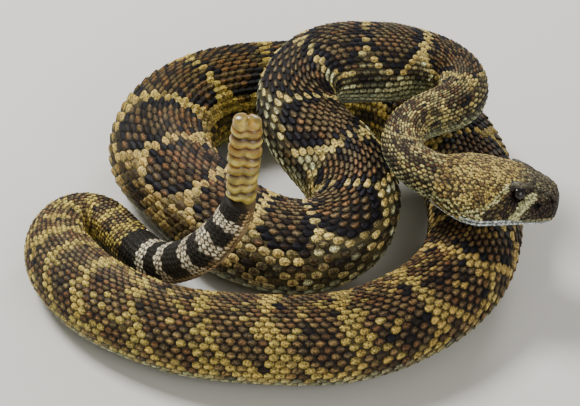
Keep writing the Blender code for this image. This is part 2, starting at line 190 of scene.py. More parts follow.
# The markings' colours as sRGB hex values, with what each is for.
PALETTE = {
    # Near black: partly the skin's own dark, partly painted shade in the gaps between scales.
    "between": ("0f0b08", "Soft skin that shows between the scales"),
    "diamond": ("291f13", "Edges of the scales in the diamonds"),
    "diamond_core": ("745635", "Middles of the scales in the diamonds"),
    "olive_core": ("665739", "Middles of other scales in the diamonds"),
    "border": ("121014", "Dark edge of the diamonds and side blotches"),
    "pale_line": ("c4b069", "Edges of the pale scales round the diamonds"),
    "pale_core": ("b39a52", "Middles of the pale scales round the diamonds"),
    "pale_rear": ("af9a4d", "Crossbands towards the tail"),
    "flank": ("4b4233", "Edges of the side scales near the head"),
    "flank_core": ("968c5a", "Middles of the side scales near the head"),
    "flank_rear": ("8a7344", "Sides from mid body"),
    "flank_spot": ("33261a", "Darker scales on the sides"),
    "orange_core": ("624a2f", "Middles of the pale-ringed side scales"),
    "low_flank": ("a4a982", "Lowest rows, beside the belly"),
    "belly": ("cfc8a4", "Wide plates of the underside"),
    "tail_black": ("090807", "Black rings of the tail"),
    "tail_white": ("dccfae", "Pale rings of the tail"),
    "tail_under": ("c9ab75", "Underside of the tail"),
    "crown": ("b09a54", "Top of the head"),
    "crown_spot": ("5c472d", "Dark scales on the head"),
    "snout": ("5d5543", "Top of the snout"),
    "stripe": ("d3d096", "Pale stripes of the face"),
    "band": ("33271f", "Dark band through the eye"),
    "cheek": ("b8b67c", "Cheek by the corner of the mouth"),
    "chin": ("cfd8d6", "Chin, throat and lower lips"),
    "brow": ("585242", "Plate over the eye"),
    "eye_iris": ("1c150c", "Iris of the eye"),
    "horn": ("a77924", "Swellings of the rattle"),
    "horn_pale": ("b1a14c", "Swellings of the rings next to the tail"),
    # Partly painted shade in the rattle's grooves.
    "horn_groove": ("4c2e0a", "Grooves of the rattle"),
}

# The camera: the photograph is 580 pixels wide, and 21.5 of them span 10 mm at the floor under the coils.
PHOTO_WIDTH = 580
PIXELS_PER_METRE = 2150.0
SENSOR_WIDTH = 36.0
CAMERA_DISTANCE = 1.30
CAMERA_HEIGHT = math.radians(40)
CAMERA_AIM = (0.0, 0.0260, 0.0)

# The studio, in metres and watts: half the floor's width, the light from all round, and the lamps' places,
# power and size.
FLOOR_REACH = 3.0
WORLD_STRENGTH = 0.42
LAMPS = {
    "key_light": ((-0.55, 0.35, 0.95), 16.0, 0.35),
    "fill_light": ((0.55, -0.9, 0.6), 6.2, 0.8),
    "rim_light": ((0.4, 0.9, 0.6), 5.0, 0.4),
}

RNG_SEED = 11


def linear(hex_colour):
    """An sRGB hex colour as a linear RGB value."""
    channels = [int(hex_colour[i:i + 2], 16) / 255 for i in (0, 2, 4)]
    return tuple(c / 12.92 if c <= 0.04045 else ((c + 0.055) / 1.055) ** 2.4 for c in channels)


def colour_property(name, hex_colour, description):
    return FloatVectorProperty(name=name.replace("_", " ").capitalize(), description=description,
                               subtype="COLOR", size=3, min=0, max=1, default=linear(hex_colour))


def paints():
    """The markings' colours as arrays, by name."""
    colours = bpy.context.scene.snake_colours
    return {name: np.array(getattr(colours, name)) for name in PALETTE}


def unit(vector):
    return vector / np.linalg.norm(vector)


def spline(points, count):
    """Natural cubic spline through the points, by chord length."""
    chords = np.linalg.norm(np.diff(points, axis=0), axis=1)
    knots = np.concatenate([[0], np.cumsum(chords)])
    total = len(points)
    matrix = np.eye(total)
    right = np.zeros(points.shape)
    for i in range(1, total - 1):
        before, after = chords[i - 1], chords[i]
        matrix[i, i - 1:i + 2] = before, 2 * (before + after), after
        right[i] = 6 * ((points[i + 1] - points[i]) / after - (points[i] - points[i - 1]) / before)
    bend = np.linalg.solve(matrix, right)
    place = np.linspace(0, knots[-1], count)
    k = np.clip(np.searchsorted(knots, place, side="right") - 1, 0, total - 2)
    step = (place - knots[k])[:, None]
    chord = chords[k][:, None]
    slope = (points[k + 1] - points[k]) / chord - chord / 6 * (2 * bend[k] + bend[k + 1])
    curl = (bend[k + 1] - bend[k]) / (6 * chord)
    return points[k] + step * slope + step ** 2 / 2 * bend[k] + step ** 3 * curl


def spaced(line, step):
    """The line's points at even distances, and those distances."""
    run = np.concatenate([[0], np.cumsum(np.linalg.norm(np.diff(line, axis=0), axis=1))])
    place = np.linspace(0, run[-1], int(round(run[-1] / step)) + 1)
    return np.stack([np.interp(place, run, line[:, axis]) for axis in range(3)], axis=1), place


def rounded(line):
    """The evenly spaced line with its corners rounded, its ends held."""
    reach = int(3 * ROUNDING / SPINE_STEP)
    weights = np.exp(-0.5 * (np.arange(-reach, reach + 1) * SPINE_STEP / ROUNDING) ** 2)
    weights /= weights.sum()
    before = 2 * line[0] - line[reach:0:-1]
    after = 2 * line[-1] - line[-2:-reach - 2:-1]
    padded = np.vstack([before, line, after])
    return np.stack([np.convolve(padded[:, axis], weights, mode="valid") for axis in range(3)], axis=1)


def nearest(line, point):
    return int(np.argmin(np.linalg.norm(line - point, axis=1)))


def read_off(table, place):
    """The value of a table of places and values at a place, on straight lines between its rows."""
    return np.interp(place, *zip(*table))


class Spine:
    """The route from the snout to the rattle, worked out as the solids' own."""

    def __init__(self):
        forward = unit(SNOUT - NAPE)
        lead = [NAPE + forward * distance for distance in HEAD_LEAD]
        flat = [point for _, points in STRETCHES for point in points]
        rough = self.with_heights(flat, [self.floor_height(ROUGH_HALF_WIDTH)] * len(flat))
        run = np.concatenate([[0], np.cumsum(np.linalg.norm(np.diff(rough, axis=0), axis=1))])
        girths = read_off(GIRTH, run)
        route = np.array(lead + self.with_heights(flat, [self.floor_height(g) for g in girths]))
        line, _ = spaced(spline(route, SPINE_SAMPLES), SPINE_STEP)
        self.centre, run = spaced(rounded(line), SPINE_STEP)
        self.distance = run - run[nearest(self.centre, NAPE)]
        self.width = read_off(GIRTH, self.distance)
        tangent = np.gradient(self.centre, axis=0)
        self.tangent = tangent / np.linalg.norm(tangent, axis=1)[:, None]
        self.starts = {}
        for name, points in STRETCHES:
            index = flat.index(points[0])
            self.starts[name] = self.distance[nearest(self.centre, route[index + len(lead)])]
        self.starts["neck"] = 0.0
        self.end = float(self.distance[-1])
        turn_start = self.starts["tail"]
        turn = np.clip((self.distance - turn_start) / (self.end - turn_start), 0, 1)
        wanted = np.outer(1 - turn, (0, 0, 1)) + np.outer(turn, (-1, 0, 0))
        along = np.sum(wanted * self.tangent, axis=1)[:, None]
        up = wanted - along * self.tangent
        self.up = up / np.linalg.norm(up, axis=1)[:, None]

    @staticmethod
    def floor_height(half_width):
        return half_width * HEIGHT_TO_WIDTH - SINK

    @staticmethod
    def with_heights(flat, heights):
        return [np.array(p if len(p) == 3 else (*p, h), float) for p, h in zip(flat, heights)]

    def at(self, distance):
        """Centre, up, side and half width at a distance from the nape."""
        values = [np.interp(distance, self.distance, column)
                  for column in (*self.centre.T, *self.up.T, *self.tangent.T, self.width)]
        along = unit(np.array(values[6:9]))
        up = np.array(values[3:6])
        up = unit(up - along * (up @ along))
        return np.array(values[:3]), up, np.cross(along, up), values[9]

    def room(self, centre, directions, distance, half_width):
        """How far a ring's points may go before they are nearer to another stretch of the body."""
        apart = centre - self.centre
        along = np.abs(self.distance - distance)
        far = along > 4.0
        toward = -(directions @ apart[far].T)
        square = np.sum(apart[far] ** 2, axis=1)
        share = np.where(along[far] > 3 * half_width, 2 * half_width / (half_width + self.width[far]), 1.0)
        reach = np.where(toward > 1e-6, square / (2 * np.maximum(toward, 1e-6)) * share, np.inf)
        return reach.min(axis=1)

    def ring(self, distance, angles):
        """The body's section, flattened where it meets the floor or itself."""
        centre, up, side, half_width = self.at(distance)
        offsets = np.outer(np.cos(angles) * half_width * HEIGHT_TO_WIDTH, up)
        offsets += np.outer(np.sin(angles) * half_width, side)
        length = np.linalg.norm(offsets, axis=1)
        directions = offsets / length[:, None]
        limit = ROOM_SHARE * self.room(centre, directions, distance, half_width) - ROOM_GAP
        limit = np.minimum(limit, 4 * half_width)
        knee = KNEE * limit
        eased = knee + (limit - knee) * (1 - np.exp(-(length - knee) / (limit - knee)))
        length = np.where(length > knee, eased, length)
        to_floor = np.where(directions[:, 2] < 0, -centre[2] / np.minimum(directions[:, 2], -1e-6), np.inf)
        length = np.minimum(length, to_floor)
        return centre + directions * length[:, None]

    def head_axes(self, place):
        """Middle, forward, left and up in the head, leant by the roll a little ahead of the nape."""
        centre, up, side, _ = self.at(-place)
        roll = ROLL * min(1.0, place / ROLL_LENGTH)
        leant = up * math.cos(roll) + side * math.sin(roll)
        return centre, unit(np.cross(up, side)), side * math.cos(roll) - up * math.sin(roll), leant

    def head_point(self, place, left_offset, height):
        centre, _, left, up = self.head_axes(place)
        return centre + left * left_offset + up * height


def smooth_table(rows, place):
    """A row of values at a place, on smooth curves through the rows of the table."""
    table = np.array(rows)
    k = int(np.clip(np.searchsorted(table[:, 0], place) - 1, 0, len(table) - 2))
    gap = table[k + 1, 0] - table[k, 0]
    share = (place - table[k, 0]) / gap
    slopes = np.gradient(table[:, 1:], table[:, 0], axis=0)
    low, high = table[k, 1:], table[k + 1, 1:]
    s2, s3 = share ** 2, share ** 3
    return ((2 * s3 - 3 * s2 + 1) * low + (s3 - 2 * s2 + share) * gap * slopes[k]
            + (3 * s2 - 2 * s3) * high + (s3 - s2) * gap * slopes[k + 1])


def bump(place, centre, reach):
    return np.exp(-((place - centre) / reach) ** 2)


def from_spot(spot, place, height):
    """Distance on the head's side from a spot, which is a place and a height."""
    return np.hypot(place - spot[0], height - spot[1])


def mouth_height(place):
    return read_off(MOUTH_LINE, place)


def head_offsets(place, angles):
    """Left offsets and heights of the head's section, with brow, ridge to the snout, rim and lips."""
    width, crown, chin, widest, square_top, square_low = smooth_table(HEAD_SECTIONS, place)
    cosine, sine = np.cos(angles), np.sin(angles)
    power = np.where(cosine >= 0, square_top, square_low)
    tall = np.where(cosine >= 0, crown - widest, chin + widest)
    across = width * np.sign(sine) * np.abs(sine) ** (2 / power)
    height = widest + tall * np.sign(cosine) * np.abs(cosine) ** (2 / power)
    lift = 1.5 * bump(place, EYE_PLACE[0] + 0.3, 5.0) * bump(height, EYE_PLACE[2] + 3.3, 1.9)
    lift = lift + 0.6 * bump(place, 46.0, 6.0) * bump(np.abs(sine), 0.62, 0.2) * (cosine > 0)
    lift = lift + 0.6 * bump(from_spot(EYE_SPOT, place, height), EYE_RADIUS + 1.2, 1.1)
    if place > MOUTH_LINE[0][0]:
        lift = lift + 0.5 * bump(np.abs(height - mouth_height(place)), 1.8, 1.3)
    out = lift * bump(np.abs(across), width, 0.6 * width)
    return across + np.sign(across) * out, height + 0.3 * out


class Surface:
    """The snake's outer surface as a grid of rows along it, with normals and real stretches."""

    def __init__(self):
        self.spine = Spine()
        self.angles = np.linspace(-math.pi, math.pi, SIDES, endpoint=False)
        head_rows = -np.arange(HEAD_TIP, 0.0, -HEAD_STEP)
        body_rows = np.arange(0.0, self.spine.end, BODY_STEP)
        self.rows = np.concatenate([head_rows, body_rows, [self.spine.end]])
        grid = []
        self.head_shape = []
        for row in self.rows:
            if row < 0:
                across, height = head_offsets(-row, self.angles)
                centre, _, left, up = self.spine.head_axes(-row)
                grid.append(centre + np.outer(across, left) + np.outer(height, up))
                self.head_shape.append((across, height))
            else:
                grid.append(self.spine.ring(row, self.angles))
        self.points = np.array(grid)
        wrapped = np.concatenate([self.points[:, -1:], self.points, self.points[:, :1]], axis=1)
        along = np.gradient(self.points, self.rows, axis=0)
        turn = 2 * math.pi / SIDES
        around = (wrapped[:, 2:] - wrapped[:, :-2]) / (2 * turn)
        normal = np.cross(along, around)
        size = np.linalg.norm(normal, axis=2)[..., None]
        self.normals = normal / np.maximum(size, 1e-9)
        middle = self.points.mean(axis=1)[:, None]
        flip = np.sign(np.sum(self.normals * (self.points - middle), axis=2).mean())
        self.normals = self.normals * flip
        self.along = np.linalg.norm(along, axis=2)
        self.around = np.linalg.norm(around, axis=2)

    def sample(self, values, place, angle):
        """A value of the grid between its rows and corners."""
        row = np.interp(place, self.rows, np.arange(len(self.rows)))
        low = np.minimum(row.astype(int), len(self.rows) - 2)
        row_share = row - low
        column = (angle + math.pi) / (2 * math.pi) * SIDES
        left = np.floor(column).astype(int)
        column_share = column - left
        left, right = left % SIDES, (left + 1) % SIDES
        if values.ndim == 3:
            row_share, column_share = row_share[..., None], column_share[..., None]
        near = values[low, left] * (1 - column_share) + values[low, right] * column_share
        far = values[low + 1, left] * (1 - column_share) + values[low + 1, right] * column_share
        return near * (1 - row_share) + far * row_share

    def point(self, place, angle, height):
        """Points above the skin's outer surface, never below the floor."""
        normal = self.sample(self.normals, place, angle)
        normal /= np.maximum(np.linalg.norm(normal, axis=-1), 1e-9)[..., None]
        points = self.sample(self.points, place, angle) + normal * height[..., None]
        points[..., 2] = np.maximum(points[..., 2], 0.02)
        return points

    def head_angle(self, place, height, side):
        """The angle at which the head's section has a height, on the side with that sign."""
        index = int(np.clip(np.searchsorted(self.rows, -place), 0, len(self.head_shape) - 1))
        heights = self.head_shape[index][1]
        half = self.angles >= 0
        order = np.argsort(heights[half])
        return side * float(np.interp(height, heights[half][order], self.angles[half][order]))

    def head_height(self, place, angle):
        """Heights of the head's section at places and angles."""
        shape = np.array([height for _, height in self.head_shape])
        shape = np.vstack([shape, shape[-1:]])
        rows = self.rows[:len(shape)]
        row = np.interp(-place, rows, np.arange(len(rows)))
        low = np.minimum(row.astype(int), len(rows) - 2)
        share = row - low
        column = np.round((angle + math.pi) / (2 * math.pi) * SIDES).astype(int) % SIDES
        return shape[low, column] * (1 - share) + shape[low + 1, column] * share


@lru_cache(maxsize=1)
def surface():
    return Surface()


def coat_depth(place):
    """How far the skin lies under the solids' surface, in millimetres."""
    sizes = bpy.context.scene.snake_sizes
    body = sizes.coat_depth / MM * (0.35 + 0.65 * read_off(GIRTH, place) / MID_GIRTH)
    return np.where(place < 0, 0.45 * sizes.coat_depth / MM, body)


def fill_mesh(name, material, points, quads, colours, uv=None):
    """A mesh of quads from arrays in millimetres, with a marking colour for each point."""
    mesh = bpy.data.meshes.new(name)
    mesh.materials.append(material)
    mesh.vertices.add(len(points))
    mesh.vertices.foreach_set("co", (points * MM).astype(np.float32).ravel())
    mesh.loops.add(quads.size)
    mesh.loops.foreach_set("vertex_index", quads.astype(np.int32).ravel())
    mesh.polygons.add(len(quads))
    mesh.polygons.foreach_set("loop_start", np.arange(0, quads.size, 4, dtype=np.int32))
    mesh.update(calc_edges=True)
    mesh.polygons.foreach_set("use_smooth", np.ones(len(quads), dtype=bool))
    rgba = np.ones((len(points), 4), dtype=np.float32)
    rgba[:, :3] = colours
    marking = mesh.color_attributes.new("marking", "FLOAT_COLOR", "POINT")
    marking.data.foreach_set("color", rgba.ravel())
    if uv is not None:
        layer = mesh.uv_layers.new(name="OFBake")
        layer.data.foreach_set("uv", uv[quads.ravel()].astype(np.float32).ravel())
    mesh.validate()
    obj = bpy.data.objects.new(name, mesh)
    bpy.context.scene.collection.objects.link(obj)
    return obj


def tube_quads(rows, sides, capped=True, turned=False):
    """Quads of a tube of rows, with a fan over each end from the two points that follow the rows."""
    ring = np.arange(sides)
    after = (ring + 1) % sides
    base = np.arange(rows - 1)[:, None] * sides
    quads = np.stack([base + ring, base + sides + ring, base + sides + after, base + after], axis=-1)
    quads = quads.reshape(-1, 4)
    if capped:
        half = ring[::2]
        second, third = (half + 1) % sides, (half + 2) % sides
        first, top = np.full_like(half, rows * sides), (rows - 1) * sides
        quads = np.concatenate([quads, np.stack([first, half, second, third], axis=-1),
                                np.stack([first + 1, top + third, top + second, top + half], axis=-1)])
    return quads[:, [0, 3, 2, 1]] if turned else quads


def capped_tube(name, material, points, colours, end_colours, uv=None, turned=False):
    """A mesh of rows of points, closed at both ends by a fan round the end row's middle."""
    rows, sides = points.shape[:2]
    everything = np.vstack([points.reshape(-1, 3), points[0].mean(axis=0), points[-1].mean(axis=0)])
    tones = np.vstack([colours.reshape(-1, 3), *end_colours])
    return fill_mesh(name, material, everything, tube_quads(rows, sides, turned=turned), tones, uv)


# Where a scale's plate has its points, as shares of its length and of half its width. Its sides and tip
# end in the skin. Then the width of the keel, in millimetres.
PLATE_ALONG = np.array([0.0, 0.14, 0.32, 0.52, 0.7, 0.85, 0.95, 1.0])
PLATE_ACROSS = np.array([-1.0, -0.86, -0.5, -0.16, 0.0, 0.16, 0.5, 0.86, 1.0])
KEEL_WIDTH = 0.32


def plate_outline(along, blunt):
    """Half the plate's width along it: a leaf, or square where a scale is a tile."""
    reach = np.where(along < 0.52, 0.56, 0.48)
    leaf = np.clip(1 - np.abs((along - 0.52) / reach) ** 2.3, 0, 1) ** 0.55
    tile = 1 - 0.25 * np.clip((along - 0.8) / 0.2, 0, 1) ** 2
    return leaf * (1 - blunt) + tile * blunt


def plate_quads(count):
    """Quads of a number of plates, one plate's points after another's."""
    tall, wide = len(PLATE_ALONG), len(PLATE_ACROSS)
    corner = np.arange(tall - 1)[:, None] * wide + np.arange(wide - 1)[None]
    quad = np.stack([corner, corner + 1, corner + wide + 1, corner + wide], axis=-1).reshape(-1, 4)
    return (quad[None] + (np.arange(count) * tall * wide)[:, None, None]).reshape(-1, 4)


def count_seed(name):
    """A fixed number for a piece's name."""
    return sum(ord(letter) * (i + 1) for i, letter in enumerate(name))


class Scales:
    """A batch of scales, with one value of each kind for each scale, in millimetres and radians."""

    def __init__(self, place, angle, length, width, colours, **extra):
        self.place, self.angle = np.asarray(place, float), np.asarray(angle, float)
        count = len(self.place)
        self.length, self.width = np.broadcast_to(length, count), np.broadcast_to(width, count)
        self.rim_colour, self.core_colour = colours
        # Edge is how much a plate's sides, root and tip rim are darkened, partly its dark outline and
        # partly painted shade; keel_tone above one is a painted highlight on the keel.
        defaults = {"turn": 0.0, "lift": 0.55, "dome": 0.22, "keel": 0.3, "blunt": 0.0, "edge": 0.5,
                    "keel_tone": 1.15, "sink": 0.18}
        for key, value in {**defaults, **extra}.items():
            setattr(self, key, np.broadcast_to(np.asarray(value, float), count))

    def pick(self, chosen):
        """The scales that are chosen, as a new batch."""
        batch = object.__new__(Scales)
        for key, value in vars(self).items():
            setattr(batch, key, value[chosen])
        return batch

    def columns(self, *names):
        """The named values, each shaped so that it meets every point of its plate."""
        return (getattr(self, name)[:, None, None] for name in names)

    def unwrap(self, along, across, span):
        """Each plate's small patch in the map, at its root's distance along the span and its angle."""
        low, high = span
        root = np.stack([(self.place - low) / (high - low), (self.angle / (2 * math.pi)) % 1.0], axis=-1)
        patch = np.stack(np.broadcast_arrays(along - 0.5, across / 2), axis=-1) * 0.003
        return np.clip(root[:, None, None, :] + patch, 0, 1)

    def paint(self, name, along, across, ridge):
        """The plates' colours: light middles; sides, roots and tip rims darker, partly the scales' own dark
        outline and partly painted shade; specks; and a painted highlight on the keel and near the tip.
        """
        dark, keel_tone = self.columns("edge", "keel_tone")
        # Sides, root and tip rim darker: partly the scale's own dark outline, partly painted shade where
        # the plate drops to the skin and tucks under the one before.
        edge = 1.06 - dark * np.clip((np.abs(across) - 0.36) / 0.55, 0, 1) ** 1.2
        edge = edge * (1 - 0.9 * dark * np.clip(1 - along * 3.2, 0, 1))
        edge = edge * (1 - 0.85 * dark * np.clip((along - 0.88) * 10, 0, 1))
        # Painted highlight: lighter along the keel where keel_tone is above one, and towards the tip.
        tip = np.clip((along - 0.5) / 0.3, 0, 1) * (along < 0.93)
        tone = edge * (1 + (keel_tone - 1) * ridge) * (0.88 + 0.34 * tip)
        tone = tone * (0.68 + 0.64 * np.random.default_rng(count_seed(name)).random(tone.shape))
        middle = np.exp(-((along - 0.55) / 0.34) ** 2 - (across / 0.62) ** 2) * np.ones_like(tone)
        colours = self.rim_colour[:, None, None] * (1 - middle[..., None])
        colours = colours + self.core_colour[:, None, None] * middle[..., None]
        return np.clip(colours * tone[..., None], 0, 1)

    def build(self, name, material, span):
        """One joined mesh of plates over the skin. Span is the stretch that its unwrap covers."""
        skin = surface()
        place, angle, length, width, turn, lift, dome, keel, sink, blunt = self.columns(
            "place", "angle", "length", "width", "turn", "lift", "dome", "keel", "sink", "blunt")
        pull = np.clip(skin.sample(skin.along, self.place, self.angle), 0.35, 2.2)[:, None, None]
        girth = np.maximum(skin.sample(skin.around, self.place, self.angle), 0.8)[:, None, None]
        along, across = PLATE_ALONG[None, :, None], PLATE_ACROSS[None, None, :]
        outline = plate_outline(along, blunt)
        forward = (along - 0.3) * length
        sideways = across * outline * width / 2
        forward, sideways = np.broadcast_arrays(forward, sideways)
        run = forward * np.cos(turn) - sideways * np.sin(turn)
        swing = forward * np.sin(turn) + sideways * np.cos(turn)
        rim = (np.abs(across) > 0.99) | (along > 0.99)
        inner = np.clip(1 - across ** 2, 0, 1)
        height = lift * along ** 1.3 + dome * inner
        ridge = np.exp(-(across * outline * width / 2 / KEEL_WIDTH) ** 2)
        height = height + keel * ridge * np.clip(along * 5, 0, 1) * (along < 0.97)
        height = height - sink
        height = np.where(rim, -sink - 0.1, height)
        places = place + run / pull
        angles = angle + swing / girth
        points = skin.point(places, angles, height - coat_depth(places))
        colours = self.paint(name, along, across, ridge)
        uv = self.unwrap(along, across, span)
        return fill_mesh(name, material, points.reshape(-1, 3), plate_quads(len(points)),
                         colours.reshape(-1, 3), uv.reshape(-1, 2))


def noise_at(*coordinates):
    """Smooth variation between 0 and 1 from a few waves of unlike lengths."""
    total = 0
    for k, (frequency, phase) in enumerate(((1.0, 0.3), (1.73, 1.9), (2.91, 4.1), (4.7, 2.2))):
        wave = sum(np.sin(value * frequency * (1 + 0.37 * i) + phase * (i + 1))
                   for i, value in enumerate(coordinates))
        total = total + wave / (k + 1.5)
    return 0.5 + 0.5 * np.tanh(total)


def mix(first, second, share):
    share = np.clip(np.asarray(share, float), 0, 1)[..., None]
    return first * (1 - share) + second * share


def edge_step(value, low, high):
    t = np.clip((value - low) / (high - low), 0, 1)
    return t * t * (3 - 2 * t)


def uneven(colour, rng, amount):
    """The colours with each scale a little lighter or darker, warmer or cooler."""
    jitter = 1 + amount * (rng.random(colour.shape[:-1]) - 0.5)
    warm = 1 + 0.3 * amount * (rng.random(colour.shape[:-1]) - 0.5)
    return colour * np.stack([jitter * warm, jitter, jitter / warm], axis=-1)


def both_uneven(colours, rng, amount):
    """Edge and middle colours, made uneven alike."""
    seed = rng.integers(1 << 30)
    return [uneven(colour, np.random.default_rng(seed), amount) for colour in colours]


def tail_marking(place, angle, shade):
    """Edge and middle colours of the tail's scales: black and pale rings, tan underneath."""
    band = np.searchsorted(TAIL_RINGS, place + 1.6 * (noise_at(angle * 3.0, place / 20) - 0.5)) % 2
    tail = mix(shade["tail_white"], shade["tail_black"], band)
    tail = mix(tail, shade["tail_under"], edge_step(np.abs(angle), 1.6, 2.15) * 0.85)
    # Scale edges: on the pale rings a darker brown, partly painted shade between the scales; on the black
    # rings a faint pale edge, partly a painted glint.
    rim = mix(tail * np.array([0.5, 0.42, 0.34]), shade["tail_white"], 0.05 * band)
    return mix(tail, rim, 0.35 + 0.65 * band), tail


def body_marking(place, angle, rng):
    """Edge and middle colours of scales at places and angles: diamonds, pale lines, flanks, tail rings."""
    shade = paints()
    lines = np.array(PALE_LINES, float)
    grain, second, third = rng.random((3, *place.shape))
    rear = edge_step(place, *REAR)
    middle = edge_step(place, *MIDDLE) * (1 - rear)
    fore = edge_step(place, *FORE)
    arched, ringed, open_side = (bump(place, *length) for length in (ARCHED, RINGED_FLANK, OPEN_SIDE))
    wobble = 2.4 * (noise_at(place / 7.0, angle * 2.9) - 0.5)
    slant = (1.2 + 3.0 * rear) * angle ** 2
    spot = np.clip(place + wobble + slant, lines[0], lines[-1] - 0.01)
    k = np.searchsorted(lines, spot, side="right") - 1
    half = (lines[k + 1] - lines[k]) / 2
    a = (spot - lines[k] - half) / half
    b = np.abs(angle) / read_off(DIAMOND_REACH, place)
    ring = (np.abs(a) ** DIAMOND_POWER + b ** DIAMOND_POWER) ** (1 / DIAMOND_POWER) + 0.05 * (second - 0.5)
    width = read_off(LINE_WIDTHS, place)
    rim, core = np.zeros((*place.shape, 3)), np.zeros((*place.shape, 3))

    def lay(share, edge_colour, core_colour):
        nonlocal rim, core
        rim, core = mix(rim, edge_colour, share), mix(core, core_colour, share)

    lay(np.ones(place.shape), shade["diamond"], shade["diamond_core"])
    lay(grain > 0.35 - 0.2 * arched + 0.15 * rear, shade["diamond"], shade["olive_core"])
    lay(second < 0.08, shade["diamond"], shade["orange_core"])
    lay(grain > 0.86 + 0.07 * rear, shade["border"], shade["diamond"])
    lay(rear * (second > 0.58), shade["flank_spot"], shade["flank_rear"])
    dark = edge_step(ring, 0.64, 0.7) * (0.6 + 0.4 * np.abs(a) ** 3) * (1 - 0.72 * rear) * (1 - 0.7 * fore)
    lay(third < dark, shade["border"], shade["border"] * 1.4)
    pale = mix(shade["pale_line"], shade["pale_rear"], rear)
    pale_core = mix(shade["pale_core"], shade["pale_rear"], rear)
    in_line = edge_step(ring, 1 - width - 0.02, 1 - width + 0.03)
    lay(in_line * (third < 1 - 0.17 * rear - 0.45 * fore - 0.22 * arched), pale, pale_core)
    beyond = edge_step(ring, 1.02, 1.07) * (1 - bump(np.abs(a), 1.0, 0.2) * (b < 0.62))
    lay(beyond, mix(shade["flank"], shade["flank_rear"] * 0.8, rear + 0.7 * middle),
        mix(shade["flank_core"], shade["flank_rear"], rear + 0.5 * middle))
    lay(beyond * (grain < 0.9 * ringed), shade["pale_line"] * 1.1, shade["orange_core"])
    lay(beyond * (grain > 0.25) * open_side, shade["pale_rear"] * 0.75, shade["pale_rear"] * 0.95)
    lay(beyond * (second > 0.9) * open_side, shade["diamond"], shade["orange_core"])
    # Painted light: on the arch a share of the flank's scales turn pale, those on the snake's right much
    # lighter, standing in for light on that shaded flank.
    lit = mix(shade["flank_core"], shade["low_flank"], 0.4)
    inward = (angle < 0)[..., None]
    lay(beyond * (grain > 1 - 0.7 * arched), lit * np.where(inward, 1.2, 0.8),
        lit * np.where(inward, 2.1, 1.1))
    speckle = noise_at(place / 4.0, angle * 7.0) * 0.55 + second * 0.45
    lay(beyond * edge_step(speckle, 0.5 - 0.14 * middle * (1 - ringed) + 0.2 * open_side, 0.66) * 0.85,
        shade["flank_spot"] * 0.7, shade["flank_spot"])
    mottle = 0.45 * noise_at(place / 3.6, angle * 4.3) + 0.55 * grain
    lay(fore * (mottle > 0.48) * 0.85, shade["flank"], shade["flank_core"])
    lay(fore * (mottle > 0.66) * 0.85, shade["pale_line"] * 0.7, shade["pale_line"])
    lay(fore * (mottle < 0.3) * 0.85, shade["flank_spot"] * 0.7, shade["flank_spot"] * 1.3)
    blotch = np.hypot((np.abs(a) - 1) * half / 6.0, (np.abs(angle) - 1.45) / 0.22)
    lay(beyond * (blotch < 1) * 0.75 * (1 - 0.6 * rear), shade["border"], shade["border"] * 1.3)
    low = edge_step(np.abs(angle), read_off(LOW_START, place), 2.1)
    # Painted light: the lowest rows on the arch's right side lighter, standing in for light on that shaded
    # flank.
    painted_arch_light = 1 + (0.6 * arched)[..., None] * inward
    lay(low * (0.55 + 0.45 * (third > 0.3)), shade["low_flank"] * 0.7 * painted_arch_light, shade["low_flank"] * painted_arch_light)
    lay(rear * (grain < 0.1) * (1 - low), shade["pale_rear"] * 0.8, shade["pale_rear"])
    lay(place > TAIL_RINGS[0], *tail_marking(place, angle, shade))
    # Parts of this tint are painted light and painted shade, as marked in TINTS.
    tint = 1 + sum(bump(place, centre, reach)[..., None] * np.array(change)
                   for centre, reach, change in TINTS)
    return both_uneven((rim * tint, core * tint), rng, 0.42)


def line_distance(place, height, line):
    """Distance of places and heights from a line of points on the head's side."""
    best = np.full(np.shape(place), 1e9)
    for (p0, h0), (p1, h1) in zip(line[:-1], line[1:]):
        length = (p1 - p0) ** 2 + (h1 - h0) ** 2
        t = np.clip(((place - p0) * (p1 - p0) + (height - h0) * (h1 - h0)) / length, 0, 1)
        best = np.minimum(best, np.hypot(place - p0 - t * (p1 - p0), height - h0 - t * (h1 - h0)))
    return best


# Lines on the side of the head, as distance from the nape and height: the pale stripe ahead of the eye,
# the one behind it, and the middle of the dark band between them.
FRONT_STRIPE = ((41.6, 6.0), (38.7, 2.4), (36.4, -2.0), (35.2, -5.6))
REAR_STRIPE = ((32.5, 10.6), (29.2, 9.2), (27.6, 6.9), (26.4, 4.4), (23.5, 1.6), (18.7, -1.9), (12.0, -4.6))
EYE_BAND = ((35.0, 6.0), (31.6, 1.6), (27.6, -3.4))


